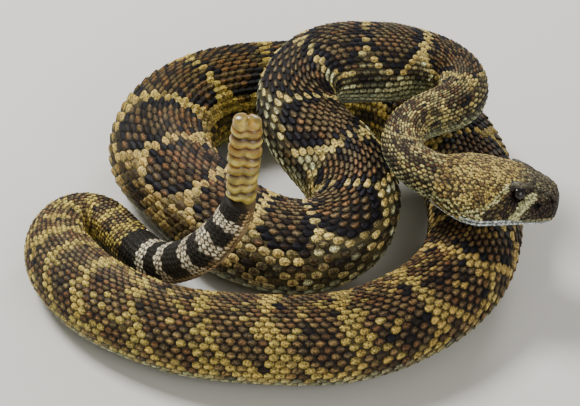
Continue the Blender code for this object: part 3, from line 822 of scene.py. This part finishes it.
def head_marking(place, angle, height, rng):
    """Edge and middle colours of the head's scales at distances from the nape, angles and heights."""
    shade = paints()
    grain, second = rng.random((2, *place.shape))
    colour = np.broadcast_to(shade["crown"], (*place.shape, 3))

    def lay(share, name):
        nonlocal colour
        colour = mix(colour, shade[name], share)

    patch = noise_at(place / 2.6, angle * 5.1)
    lay(0.9 * edge_step(0.4 * patch + 0.6 * grain, 0.44, 0.6), "crown_spot")
    ahead = edge_step(place, 32.0, 41.0)
    lay(ahead * 0.94, "snout")
    lay(ahead * 0.5 * (second > 0.86), "cheek")
    lay(ahead * 0.6 * (second < 0.2), "border")
    lay(0.5 * bump(place, 36.0, 6.0) * bump(np.abs(angle), 0.72, 0.22), "band")
    side = edge_step(np.abs(angle), 0.85, 1.1)
    lay(side * edge_step(place, 41.5, 43.5) * (0.82 + 0.16 * (grain > 0.4)), "band")
    lower = edge_step(height, 4.0, -4.0) * edge_step(place, 33.0, 20.0)
    lay(lower * 0.85 * (grain < 0.66), "cheek")
    band = edge_step(line_distance(place, height, EYE_BAND), 6.0, 4.6) * side
    lay(band * (0.8 + 0.2 * (grain > 0.35)), "band")
    rear = edge_step(line_distance(place, height, REAR_STRIPE), 1.3, 0.7) * (second < 0.78)
    lay(rear * np.interp(place, (10, 20, 32), (0.25, 0.75, 0.6)), "stripe")
    lay(edge_step(line_distance(place, height, FRONT_STRIPE), 2.3, 1.8), "stripe")
    chin = edge_step(height - mouth_height(place), -0.6, -1.2) * edge_step(place, 4.0, 12.0)
    under = edge_step(np.abs(angle), 2.0, 2.4) * edge_step(place, 52.6, 51.0)
    pale = np.maximum(chin, under)
    lay(pale, "chin")
    return both_uneven((colour * (0.62 + 0.3 * pale[..., None]), colour * 1.1), rng, 0.4)


def joined(rings):
    """Places, angles, lengths and widths of scales, from rings that have one place and length each."""
    return [np.concatenate([np.broadcast_to(ring[part], ring[1].shape) for ring in rings])
            for part in range(4)]


def body_scales(rng):
    """Keeled scales in staggered rows from the nape to the rattle, smaller where the body is thin."""
    sizes = bpy.context.scene.snake_sizes
    skin = surface()
    rings = []
    place, column = -1.5, 0
    while place < skin.spine.end - 1.0:
        half_width = float(read_off(GIRTH, place))
        pitch = sizes.scale_length / MM * (0.12 + 0.88 * half_width / MID_GIRTH)
        pitch *= read_off(SPACING, place)
        rows = read_off(ROW_COUNTS, place)
        share = np.arange(-15, 16) * 2 + column % 2
        share = share[np.abs(share) < rows / 2] / (rows / 2)
        crowd = read_off(CROWDING, place)
        ring = np.sign(share) * BELLY_ANGLE * ((1 - crowd) * np.abs(share) + crowd * share ** 2)
        spread = BELLY_ANGLE / (rows / 2) * (1 - crowd + 2 * crowd * np.abs(share))
        rings.append((place, ring, pitch, spread * half_width))
        place += pitch / 2
        column += 1
    place, angle, length, width = joined(rings)
    count = len(place)
    vary = 1 + 0.12 * (rng.random(count) - 0.5)
    size = length / SCALE_UNIT
    low = edge_step(np.abs(angle), 1.7, 2.15)
    pull = np.clip(skin.sample(skin.along, place, angle), 0.5, 2.0)
    stretched = 1 + 0.12 * (pull - 1)
    narrowed = np.where(pull > 1, pull ** -0.25, 1.0)
    hollow = edge_step(np.abs(angle), 0.5, 1.0) * bump(place, 160, 60) * np.where(angle < 0, 1, 0.5)
    crease = np.maximum(np.clip((0.95 - pull) / 0.3, 0, 1) * bump(place, 165, 85), hollow)
    length, width = length * (1 + 0.1 * crease), width * (1 - 0.4 * crease)
    rim, core = body_marking(place, angle, rng)
    ringed = rim.mean(axis=1) > 1.15 * core.mean(axis=1)
    return Scales(
        place + 0.5 * (rng.random(count) - 0.5), angle, length * 1.08 * stretched * vary * (1 + 0.2 * low),
        width * 1.36 * narrowed * vary * (1 + 0.15 * low), (rim, core),
        turn=0.1 * (rng.random(count) - 0.5),
        lift=0.62 * size * (0.8 + 0.4 * rng.random(count)) * (1 - 0.3 * low),
        dome=0.38 * size, keel=0.34 * size * (1 - 0.85 * low), edge=np.where(ringed, 0.3, 0.78),
        keel_tone=np.where(ringed, 0.9, 1.4),
        blunt=0.12 + 0.25 * low,
    )


def belly_plates(rng):
    """One wide plate after another along the underside."""
    sizes = bpy.context.scene.snake_sizes
    shade = paints()
    skin = surface()
    places, lengths, widths = [], [], []
    place = 2.0
    while place < skin.spine.end - 4.0:
        half_width = float(read_off(GIRTH, place))
        pitch = sizes.scale_length / MM * (0.3 + 0.7 * half_width / MID_GIRTH)
        places.append(place)
        lengths.append(pitch * 1.35)
        widths.append(2 * (math.pi - BELLY_ANGLE + 0.12) * half_width * 0.92)
        place += pitch
    place = np.array(places)
    base = shade["belly"] * (1 + 0.15 * (rng.random((len(place), 1)) - 0.5))
    tail = edge_step(place, 900, 930)
    base = mix(base, shade["tail_under"], tail)
    return Scales(place, np.full(len(place), math.pi), np.array(lengths), np.array(widths), (base, base),
                  lift=0.35, dome=0.0, keel=0.0, blunt=1.0, edge=0.25, keel_tone=1.0)


def head_scales(rng):
    """Small keeled scales over crown, cheeks and throat, leaving room for plates, eyes, pits and stripe."""
    skin = surface()
    rings = []
    place, column = 53.6, 0
    while place > 0.5:
        pitch = float(read_off(HEAD_SPACING, place))
        index = int(np.searchsorted(skin.rows, -place))
        around = np.concatenate([skin.around[index], skin.around[index]]) * 2 * math.pi / SIDES
        start = SIDES // 2
        arc = np.concatenate([[0], np.cumsum(around[start:start + SIDES // 2])])
        gap = pitch * 0.92
        steps = np.arange(0, arc[-1] / (2 * gap) + 1) * 2 * gap + (gap if column % 2 else 0)
        steps = steps[steps < arc[-1]]
        ring = np.interp(steps, arc, np.linspace(0, math.pi, len(arc)))
        ring = np.concatenate([ring, -ring[ring > 1e-6]])
        rings.append((place, ring, pitch, gap))
        place -= pitch / 2
        column += 1
    place, angle, length, width = joined(rings)
    height = skin.head_height(place, angle)
    mouth = mouth_height(place)
    side = np.abs(angle) > 0.6
    eye, nostril, pit = (from_spot(spot, place, height) for spot in (EYE_SPOT, NOSTRIL_SPOT, PIT_SPOT))
    brow = (np.abs(place - EYE_PLACE[0] + 0.3) < 4.4) & (np.abs(angle) > 0.72)
    brow = brow & (height > EYE_PLACE[2] + 2.6)
    lips = (height - mouth < np.where(place < 38, 2.0, 3.0)) & (mouth - height < 2.7)
    lips = lips & (place > 14.5) & (place < 52.6)
    stripe = line_distance(place, height, FRONT_STRIPE[:-1]) < 1.4
    keep = ~(side & ((eye < EYE_RADIUS + 0.9) | (nostril < 1.5) | (pit < 1.9) | stripe)) & ~brow & ~lips
    place, angle, length, width, height = (v[keep] for v in (place, angle, length, width, height))
    count = len(place)
    vary = 1 + 0.3 * (rng.random(count) - 0.5)
    size = length / SCALE_UNIT
    smooth = edge_step(height - mouth_height(place), -1.5, -3.0)
    girth = np.maximum(skin.sample(skin.around, -place, angle), 1)
    return Scales(
        -place + 0.7 * length * (rng.random(count) - 0.5),
        angle + 0.8 * width / girth * (rng.random(count) - 0.5),
        length * 1.32 * vary * (1 + 0.3 * smooth), width * 1.5 * vary * (1 + 0.1 * smooth),
        head_marking(place, angle, height, rng),
        turn=0.8 * (rng.random(count) - 0.5), lift=0.7 * size * (0.7 + 0.6 * rng.random(count)),
        dome=0.38 * size, keel=0.55 * size * (1 - smooth), edge=0.62 * (1 - 0.6 * smooth), keel_tone=1.4,
        blunt=0.15, sink=0.12,
    )


def lip_plates(rng):
    """Tall plates along both lips on both sides, with the rostral and mental plates at the front."""
    skin = surface()
    rows = []
    for side in (1, -1):
        for upper in (1, -1):
            place = 51.8
            while place > 12.0:
                length = 2.5 + 0.9 * bump(place, 24.0, 12.0)
                tall = 2.4 + (0.5 if place > 40.0 else -0.3) * (upper == 1)
                middle = float(mouth_height(place - length / 2)) + upper * (0.18 + tall / 2)
                rows.append((place, skin.head_angle(place - length / 2, middle, side), length, tall,
                             middle, upper))
                place -= length * 0.94
    for angle in (-0.42, 0.0, 0.42):
        rows.append((53.85, math.pi + angle, 1.5, 2.0, -4.0, 1))
    rows.append((52.9, math.pi, 2.2, 3.6, -6.6, -1))
    place, angle, length, tall, height, upper = np.array(rows).T
    shade = paints()
    colour = head_marking(place, angle, height, rng)[1]
    pale = shade["stripe"] * (0.75 + 0.3 * rng.random((len(place), 1)))
    lip = mix(colour, pale, np.where(upper > 0, 0.3, 0.1))
    lip = mix(lip, shade["chin"], np.where(upper < 0, 0.95, 0.9 * edge_step(place, 42.0, 34.0)))
    return Scales(-place, angle, length * 1.15, tall * 1.02, (lip * 0.85, lip), lift=0.22, dome=0.35,
                  keel=0.0, blunt=0.75, edge=np.where(upper > 0, 0.4, 0.15), keel_tone=1.0, sink=0.05)


# Brow plate and nose plates: place, height, length, width, turn, tone, lift and dome. Then the places and
# heights of the wide plates in the stripe ahead of the eye.
NOSE_PLATES = (
    (36.7, 10.5, 9.0, 4.4, 0.0, 1.0, 0.35, 0.6),
    (41.6, 9.7, 3.6, 2.8, 0.1, 0.75, 0.3, 0.5),
    (45.0, 8.6, 3.6, 2.8, 0.1, 0.62, 0.3, 0.5),
    (48.4, 7.3, 3.4, 2.6, 0.1, 0.55, 0.3, 0.5),
    (51.2, 5.9, 2.6, 2.2, 0.1, 0.5, 0.3, 0.5),
)
STRIPE_PLATES = ((42.1, 6.1), (40.3, 4.2), (38.7, 2.0), (37.4, -0.3), (36.3, -2.5))


def face_plates(rng):
    """Plates of brow, nose and stripe, the small scales round each eye, and the rims of the pits."""
    skin = surface()
    shade = paints()
    rows = []

    def add(place, height, side, length, width, turn, colour, lift, dome):
        rows.append((place, skin.head_angle(place, height, side), length, width, turn, lift, dome, *colour))

    def circle(centre, radius, number):
        """Places, heights and turns of plates on a circle on the head's side."""
        for step in range(number):
            turn = 2 * math.pi * step / number
            yield centre[0] + radius * math.cos(turn), centre[1] + radius * math.sin(turn), turn

    for side in (1, -1):
        for place, height, length, width, turn, tone, lift, dome in NOSE_PLATES:
            add(place, height, side, length, width, turn * side, shade["brow"] * tone, lift, dome)
        for place, height in STRIPE_PLATES:
            colour = shade["stripe"] * (0.9 + 0.15 * rng.random())
            add(place, height, side, 3.3, 4.1, math.atan2(side * 2.6, 1.9), colour, 0.28, 0.5)
        for place, height, turn in circle(EYE_SPOT, EYE_RADIUS + 0.45, 15):
            if math.sin(turn) > 0.72:
                continue
            front = math.cos(turn) > 0.2 and math.sin(turn) < 0.3
            colour = shade["stripe"] * 0.6 if front else shade["band"] * 1.3
            heading = math.atan2(-side * math.sin(turn), -math.cos(turn))
            add(place, height, side, 2.1, 1.6, heading, colour, 0.4, 0.45)
        for centre, radius, number in ((PIT_SPOT, 1.9, 9), (NOSTRIL_SPOT, 1.45, 7)):
            for place, height, turn in circle(centre, radius, number):
                heading = math.atan2(-side * math.sin(turn), -math.cos(turn))
                colour = shade["band"] * (1.2 + 0.6 * rng.random())
                add(place, height, side, 1.7, 1.6, heading, colour, 0.3, 0.4)
    table = np.array(rows)
    tint = table[:, 7:10]
    pale = tint.mean(axis=1) > 0.3
    return Scales(-table[:, 0], table[:, 1], table[:, 2], table[:, 3], (tint * 0.7, tint), turn=table[:, 4],
                  lift=table[:, 5], dome=table[:, 6], keel=0.0, blunt=0.55, edge=np.where(pale, 0.2, 0.45),
                  keel_tone=1.0, sink=0.08)


def node(tree, kind, links=None, **settings):
    """Adds a node with its settings, and links or sets its inputs by name or number."""
    made = tree.nodes.new(kind)
    for key, value in settings.items():
        setattr(made, key, value)
    for key, value in (links or {}).items():
        if isinstance(value, bpy.types.NodeSocket):
            tree.links.new(value, made.inputs[key])
        else:
            made.inputs[key].default_value = value
    return made


def new_material(name, roughness, ior=1.5, coat=0.0, shine=0.5):
    material = bpy.data.materials.new(name)
    material.use_nodes = True
    surface_node = material.node_tree.nodes["Principled BSDF"]
    surface_node.inputs["Roughness"].default_value = roughness
    surface_node.inputs["IOR"].default_value = ior
    surface_node.inputs["Coat Weight"].default_value = coat
    surface_node.inputs["Specular IOR Level"].default_value = shine
    return material, material.node_tree, surface_node


def tint_and_raise(tree, shader, grain_mm, tones, relief=None, **noise):
    """Darkens and lightens the marking by grains of a real size, raises them, and gives back their noise.

    Tones are the noise's low and high, then what they turn the marking's brightness to. Relief is the
    strength of the bump and its height in millimetres.
    """
    marking = node(tree, "ShaderNodeAttribute", attribute_name="marking")
    place = node(tree, "ShaderNodeTexCoord")
    grain = node(tree, "ShaderNodeTexNoise", {
        "Vector": place.outputs["Object"], "Scale": 1 / (grain_mm * MM), **noise}).outputs["Fac"]
    low, high, darkest, lightest = tones
    tone = node(tree, "ShaderNodeMapRange", {
        "Value": grain, "From Min": low, "From Max": high, "To Min": darkest, "To Max": lightest})
    tinted = node(tree, "ShaderNodeVectorMath", {
        0: marking.outputs["Color"], 3: tone.outputs["Result"]}, operation="SCALE")
    tree.links.new(tinted.outputs["Vector"], shader.inputs["Base Color"])
    if relief:
        strength, height_mm = relief
        raised = node(tree, "ShaderNodeBump", {
            "Height": grain, "Strength": strength, "Distance": height_mm * MM})
        tree.links.new(raised.outputs["Normal"], shader.inputs["Normal"])
    return grain


def keratin_scale_material(name, roughness, grain_mm, bump_strength):
    """Dry keratin over pigment: the plate's own marking, fine dark flecks, and a faint uneven gloss.

    Real flecks are a fraction of a millimetre, too fine to show, and are drawn as wide as the grain.
    """
    material, tree, shader = new_material(name, roughness, ior=1.54, shine=0.15)
    flecks = tint_and_raise(tree, shader, grain_mm, (0.41, 0.58, 0.22, 1.42), (bump_strength, 0.05),
                            Detail=4.0, Roughness=0.7)
    gloss = node(tree, "ShaderNodeMapRange", {
        "Value": flecks, "From Min": 0.3, "From Max": 0.7, "To Min": roughness - 0.08,
        "To Max": roughness + 0.14})
    tree.links.new(gloss.outputs["Result"], shader.inputs["Roughness"])
    return material


def soft_skin_material():
    """Soft dark skin between the scales, folded finely and nearly without gloss."""
    material, tree, shader = new_material("skin_between_scales", 0.7, shine=0.25)
    tint_and_raise(tree, shader, 0.8, (0.0, 1.0, 0.7, 1.2), (0.5, 0.15), Detail=2.0)
    return material


def rattle_horn_material():
    """Dry horn in thin layers: straw on the swellings and amber in the grooves, partly painted light and
    shade in the marking, with fine rings and scratches.
    """
    material, tree, shader = new_material("rattle_horn", 0.3, ior=1.55, coat=0.25)
    tint_and_raise(tree, shader, 2.5, (0.3, 0.7, 0.6, 1.25), (0.35, 0.12), Detail=6.0, Roughness=0.6)
    shader.inputs["Subsurface Weight"].default_value = 0.06
    shader.inputs["Subsurface Radius"].default_value = (1.6 * MM, 0.9 * MM, 0.4 * MM)
    return material


def eye_material():
    """A clear fixed scale over a dark bronze iris: the marking under a wet, very smooth coat."""
    material, tree, shader = new_material("eye_under_clear_scale", 0.2, ior=1.4, coat=0.55, shine=0.3)
    shader.inputs["Coat Roughness"].default_value = 0.03
    tint_and_raise(tree, shader, 0.25, (0.0, 1.0, 0.5, 1.5), Detail=2.0)
    return material


class SnakeSizes(bpy.types.PropertyGroup):
    """Sizes of the coat."""

    coat_depth: FloatProperty(
        name="Coat depth", description="How far the skin lies under the tips of the scales at mid body",
        default=0.00075, min=0.0001, max=0.003, subtype="DISTANCE", unit="LENGTH", precision=5)
    scale_length: FloatProperty(
        name="Scale spacing", description="Distance from scale to scale along a row at mid body",
        default=0.0045, min=0.002, max=0.01, subtype="DISTANCE", unit="LENGTH", precision=5)
    skin_step: FloatProperty(
        name="Skin step", description="Spacing of the skin's rows along the body",
        default=0.003, min=0.001, max=0.01, subtype="DISTANCE", unit="LENGTH", precision=4)
    rattle_sides: IntProperty(
        name="Rattle corners", description="Corners round each ring of the rattle", default=72, min=16,
        max=160)


class SnakeColours(bpy.types.PropertyGroup):
    """Colours of the markings."""

    __annotations__ = {name: colour_property(name, *row) for name, row in PALETTE.items()}


class SNAKE_OT_skin(bpy.types.Operator):
    """Makes the one skin of head, body and tail, in place of the flesh nodes."""

    bl_idname = "snake.skin"
    bl_label = "Skin"

    def execute(self, context):
        skin = surface()
        rng = np.random.default_rng(RNG_SEED)
        every = max(1, int(round(context.scene.snake_sizes.skin_step / MM / BODY_STEP)))
        head_count = len(skin.head_shape)
        chosen = np.concatenate([np.arange(head_count), np.arange(head_count, len(skin.rows), every)])
        chosen = np.unique(np.append(chosen, len(skin.rows) - 1))
        place, angle = np.meshgrid(skin.rows[chosen], skin.angles, indexing="ij")
        depth = coat_depth(place)
        height = skin.head_height(np.maximum(-place, 0), angle)
        side = (np.abs(angle) > 0.6) & (place < 0)
        eye, pit, nostril = (from_spot(spot, -place, height) for spot in (EYE_SPOT, PIT_SPOT, NOSTRIL_SPOT))
        for distance, deep, outer, inner in (
                (eye, 1.7, EYE_RADIUS + 0.7, EYE_RADIUS - 1.4),
                (pit, 1.8, 1.7, 0.6),
                (nostril, 1.5, 1.3, 0.4)):
            depth = depth + deep * edge_step(distance, outer, inner) * side
        mouth = np.abs(height - mouth_height(-place))
        depth = depth + 0.45 * bump(mouth, 0, 0.5) * (-place > 13.0) * side
        points = skin.point(place, angle, -depth)
        marking = mix(body_marking(place, angle, rng)[0], head_marking(-place, angle, height, rng)[0],
                      edge_step(place, 2.0, -4.0))
        # The skin is mostly near-black: partly the soft skin's own dark, partly painted shade in the gaps
        # between the scales.
        between = paints()["between"]
        low = edge_step(np.abs(angle), 2.0, 2.4)
        colour = mix(np.broadcast_to(between, marking.shape), marking, 0.12 + 0.5 * low)
        # Painted shade: the skin darkened inside the pits and nostrils.
        hole = np.maximum(edge_step(pit, 1.6, 0.9), edge_step(nostril, 1.2, 0.7)) * side
        colour = colour * (1 - 0.85 * hole[..., None])
        share = (place - skin.rows[0]) / (skin.rows[-1] - skin.rows[0])
        unwrap = np.stack([share, angle / (2 * math.pi) + 0.5], axis=-1).reshape(-1, 2)
        unwrap = np.vstack([unwrap, (0.0, 0.5), (1.0, 0.5)])
        ends = colour[0].mean(axis=0), colour[-1].mean(axis=0)
        obj = capped_tube("snake_skin", soft_skin_material(), points, colour, ends, unwrap)
        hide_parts(*FLESH_NODES)
        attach(obj, BODY)
        return {"FINISHED"}


class SNAKE_OT_scales(bpy.types.Operator):
    """Covers each length of the body with rows of keeled scales, and the belly with wide plates."""

    bl_idname = "snake.scales"
    bl_label = "Body scales"

    def execute(self, context):
        rng = np.random.default_rng(RNG_SEED + 1)
        keeled = keratin_scale_material("keeled_dry_scales", 0.54, 0.8, 0.4)
        smooth = keratin_scale_material("smooth_belly_plates", 0.36, 2.0, 0.15)
        spine = surface().spine
        scales = body_scales(rng)
        edges = [*list(spine.starts.values())[1:], spine.end + 1]
        low = -5.0
        slots = [*["grey_brown_scales"] * 4, *["brown_scales"] * 3, *["mustard_scales"] * 2, "ringed_tail",
                 "matrix_skin"]
        for name, high, slot in zip(spine.starts, edges, slots):
            chosen = (scales.place >= low) & (scales.place < high)
            obj = scales.pick(chosen).build(f"scales_{name}", keeled, (low - 3, high + 3))
            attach(obj, BODY)
            low = high
        belly = belly_plates(rng).build("belly_plates", smooth, (0.0, spine.end))
        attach(belly, BODY)
        return {"FINISHED"}


class SNAKE_OT_head(bpy.types.Operator):
    """Covers the head with small scales, and adds the lips' plates and the plates of brow and nose."""

    bl_idname = "snake.head"
    bl_label = "Head scales"

    def execute(self, context):
        rng = np.random.default_rng(RNG_SEED + 2)
        span = (-HEAD_TIP - 1.0, 2.0)
        small = keratin_scale_material("small_head_scales", 0.54, 0.6, 0.4)
        plates = keratin_scale_material("smooth_face_plates", 0.4, 1.2, 0.25)
        scales = head_scales(rng)
        upper = np.abs(scales.angle) < math.pi / 3
        for name, batch, material, slot in (
                ("scales_crown", scales.pick(upper), small, "head_scales"),
                ("scales_cheeks", scales.pick(~upper), small, "head_scales"),
                ("plates_lips", lip_plates(rng), plates, "chin_scales"),
                ("plates_face", face_plates(rng), plates, "head_scales")):
            obj = batch.build(name, material, span)
            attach(obj, BODY)
        return {"FINISHED"}


class SNAKE_OT_eyes(bpy.types.Operator):
    """Makes both eyes, each with an upright slit pupil, in place of their nodes."""

    bl_idname = "snake.eyes"
    bl_label = "Eyes"

    def execute(self, context):
        material = eye_material()
        spine = surface().spine
        iris = paints()["eye_iris"]
        for side, name in ((1, "left"), (-1, "right")):
            _, _, left, up = spine.head_axes(EYE_PLACE[0])
            centre = spine.head_point(EYE_PLACE[0], side * EYE_PLACE[1], EYE_PLACE[2])
            outward = unit(left * side + up * 0.12)
            upward = unit(up - outward * (up @ outward))
            ahead = np.cross(upward, outward)
            tilt = np.linspace(0, math.pi, EYE_ROWS)[:, None]
            turn = np.linspace(0, 2 * math.pi, EYE_SIDES, endpoint=False)[None]
            out = np.broadcast_to(np.cos(tilt), (EYE_ROWS, EYE_SIDES))
            x, y = np.sin(tilt) * np.cos(turn), np.sin(tilt) * np.sin(turn)
            grid = (centre + EYE_RADIUS * (out[..., None] * outward + x[..., None] * ahead
                                           + y[..., None] * upward))
            slit = np.hypot(x / 0.13, y / 0.62)
            ring = np.hypot(x, y)
            tone = edge_step(slit, 0.85, 1.15) * (0.55 + 0.9 * bump(ring, 0.34, 0.16)) + 0.04
            tone = tone * edge_step(ring, 0.98, 0.7) + 0.03
            colours = iris * tone[..., None]
            obj = fill_mesh(f"eyeball_{name}", material, grid.reshape(-1, 3),
                            tube_quads(EYE_ROWS, EYE_SIDES, capped=False), colours.reshape(-1, 3))
            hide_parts(f"eye_{name}")
            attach(obj, BODY)
        return {"FINISHED"}


def rattle_axes(spine):
    """The rattle's foot, its axis, its wide and thin directions, and the length of a ring."""
    foot = spine.centre[-1]
    axis = unit(RATTLE_END - foot)
    lean = float(np.linalg.norm(np.cross(axis, spine.tangent[-1])))
    foot = foot + axis * (0.15 + lean * spine.width[-1])
    wide = unit(np.array([-1.0, 0.0, 0.0]) + axis * axis[0])
    return foot, axis, wide, np.cross(axis, wide), float(np.linalg.norm(RATTLE_END - foot)) / RATTLE_RINGS


def horn_colours(shade, turn, across, along, scale, index):
    """Colours round a row of a rattle ring: painted light on the swellings with a painted highlight on the
    crests, painted shade in the grooves, patchy all over.
    """
    share = index / (RATTLE_RINGS - 1)
    # Painted light and shade: lighter as the ring swells out and darker in its grooves; the crest gets a
    # painted highlight.
    swell_light, crest = np.clip((scale - 0.83) / 0.14, 0, 1), 0.8 * np.clip((scale - 0.94) / 0.06, 0, 1)
    if share == 1:
        swell_light, crest = 0.9, 0.45
    crest = crest * (0.35 + noise_at(turn * 1.6 + index * 3.1, turn * 0.4 + index * 1.3))[:, None]
    # Darker down the middle of each broad face, painted shade in its groove, and a little darker towards
    # the narrow sides.
    pale = swell_light * (0.8 + 0.2 * np.cos(turn) ** 2) * (1 - 0.3 * bump(across, 0.0, 0.16))
    aged = mix(shade["horn"], shade["horn_pale"], 0.8 * (1 - share) ** 1.5)
    aged = aged + (shade["horn_pale"] * 1.3 - aged) * np.clip(crest, 0, 1)
    patch = noise_at(turn * 2.0 + index * 1.7, np.full(len(turn), along * 3.0 + index * 2.3))
    return mix(shade["horn_groove"], aged, pale) * (0.6 + 0.8 * patch)[:, None]


class SNAKE_OT_rattle(bpy.types.Operator):
    """Makes the rattle's horn rings, each a swollen two-lobed shell, in place of their nodes."""

    bl_idname = "snake.rattle"
    bl_label = "Rattle"

    def execute(self, context):
        shade = paints()
        rng = np.random.default_rng(RNG_SEED + 3)
        material = rattle_horn_material()
        foot, axis, wide, thin, length = rattle_axes(surface().spine)
        turn = np.linspace(0, 2 * math.pi, context.scene.snake_sizes.rattle_sides, endpoint=False)
        profile = np.linspace(0, 1, RATTLE_ROWS)
        swell = 0.82 + 0.18 * np.sin(math.pi * np.clip(profile * 1.04 + 0.01, 0, 1)) ** 0.6
        across = np.sign(np.sin(turn)) * np.abs(np.sin(turn)) ** 0.85
        groove = 1 - 0.22 * bump(across, 0.0, 0.26)
        tilts = 0.65 * rng.standard_normal(RATTLE_RINGS + 1)
        waves = 0.42 * rng.standard_normal(RATTLE_RINGS + 1)
        seams = [tilt * across + wave * np.sin(2 * turn) + 0.3 * bump(across, 0, 0.3)
                 for tilt, wave in zip(tilts, waves)]
        for index in range(RATTLE_RINGS):
            share = index / (RATTLE_RINGS - 1)
            last_ring = share == 1
            half_width = read_off(RATTLE_HALF_WIDTHS, share)
            half_thickness = read_off(RATTLE_HALF_THICKNESSES, share)
            start = foot + axis * length * index
            rows, colours = [], []
            for along, scale in zip(profile, swell):
                if last_ring:
                    scale = 0.96 * np.sqrt(max(1 - max(0.0, (along - 0.35) / 0.68) ** 2.4, 0.02))
                ripple = 1 + 0.014 * np.sin(turn * 3 + index) + 0.016 * np.sin(along * 17 + index * 2)
                seam = seams[index] * (1 - along) + seams[index + 1] * along * (not last_ring)
                dip = 0.9 * bump(across, 0.0, 0.2) * (along > 0.6) * last_ring
                centre = start + axis * (0.1 + along * (length - 0.2))
                rows.append(centre + np.outer(half_width * scale * across * ripple, wide)
                            + np.outer(half_thickness * scale * np.cos(turn) * groove * ripple, thin)
                            + np.outer(seam - dip, axis))
                colours.append(horn_colours(shade, turn, across, along, scale, index))
            points, colours = np.array(rows), np.array(colours)
            ends = colours[0, 0], colours[-1, 0]
            obj = capped_tube(f"rattle_shell_{index + 1}", material, points, colours, ends, turned=True)
            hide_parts(f"rattle_ring_{index + 1}")
            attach(obj, BODY)
        return {"FINISHED"}


class SNAKE_OT_stage(bpy.types.Operator):
    """Adds the pale floor, soft studio light and the camera at the photograph's angle."""

    bl_idname = "snake.stage"
    bl_label = "Stage"

    def execute(self, context):
        scene = context.scene
        data = bpy.data.cameras.new("photo_camera")
        data.sensor_width = SENSOR_WIDTH
        data.lens = SENSOR_WIDTH * PIXELS_PER_METRE * CAMERA_DISTANCE / PHOTO_WIDTH
        camera = bpy.data.objects.new("photo_camera", data)
        scene.collection.objects.link(camera)
        camera.rotation_euler = (math.pi / 2 - CAMERA_HEIGHT, 0, 0)
        back = Vector((0, -math.cos(CAMERA_HEIGHT), math.sin(CAMERA_HEIGHT)))
        camera.location = Vector(CAMERA_AIM) + back * CAMERA_DISTANCE
        scene.camera = camera
        floor_mesh = bpy.data.meshes.new("studio_floor")
        square = ((-1, -1), (1, -1), (1, 1), (-1, 1))
        corners = [(x * FLOOR_REACH, y * FLOOR_REACH, 0) for x, y in square]
        floor_mesh.from_pydata(corners, [], [(0, 1, 2, 3)])
        floor = bpy.data.objects.new("studio_floor", floor_mesh)
        scene.collection.objects.link(floor)
        paper, _, shader = new_material("matt_studio_paper", 0.9)
        shader.inputs["Base Color"].default_value = (*linear("d9d6cf"), 1.0)
        floor_mesh.materials.append(paper)
        world = bpy.data.worlds.new("studio_light")
        world.use_nodes = True
        background = world.node_tree.nodes["Background"]
        background.inputs["Color"].default_value = (*linear("f2f0ea"), 1.0)
        background.inputs["Strength"].default_value = WORLD_STRENGTH
        scene.world = world
        for name, (place, power, size) in LAMPS.items():
            lamp = bpy.data.lights.new(name, "AREA")
            lamp.energy = power
            lamp.size = size
            lamp_object = bpy.data.objects.new(name, lamp)
            lamp_object.location = place
            lamp_object.rotation_euler = (-Vector(place)).to_track_quat("-Z", "Y").to_euler()
            scene.collection.objects.link(lamp_object)
        return {"FINISHED"}


class SNAKE_PT_panel(bpy.types.Panel):
    """Lists the snake's sizes, colours and steps."""

    bl_idname = "SNAKE_PT_panel"
    bl_label = "Rattlesnake"
    bl_space_type = "VIEW_3D"
    bl_region_type = "UI"
    bl_category = "Rattlesnake"

    def draw(self, context):
        layout = self.layout
        for group in (context.scene.snake_sizes, context.scene.snake_colours):
            for name in group.__annotations__:
                layout.prop(group, name)
        for operator in OPERATORS:
            layout.operator(operator.bl_idname)


OPERATORS = (
    SNAKE_OT_stage, SNAKE_OT_skin, SNAKE_OT_scales, SNAKE_OT_head, SNAKE_OT_eyes, SNAKE_OT_rattle,
)
CLASSES = (SnakeSizes, SnakeColours, *OPERATORS, SNAKE_PT_panel)


def register():
    for made in CLASSES:
        bpy.utils.register_class(made)
    bpy.types.Scene.snake_sizes = PointerProperty(type=SnakeSizes)
    bpy.types.Scene.snake_colours = PointerProperty(type=SnakeColours)


def unregister():
    del bpy.types.Scene.snake_colours
    del bpy.types.Scene.snake_sizes
    for made in reversed(CLASSES):
        bpy.utils.unregister_class(made)


def main():
    register()
    bpy.ops.snake.stage()
    bpy.ops.snake.skin()
    bpy.ops.snake.scales()
    bpy.ops.snake.head()
    bpy.ops.snake.eyes()
    bpy.ops.snake.rattle()


if __name__ == "__main__":
    main()
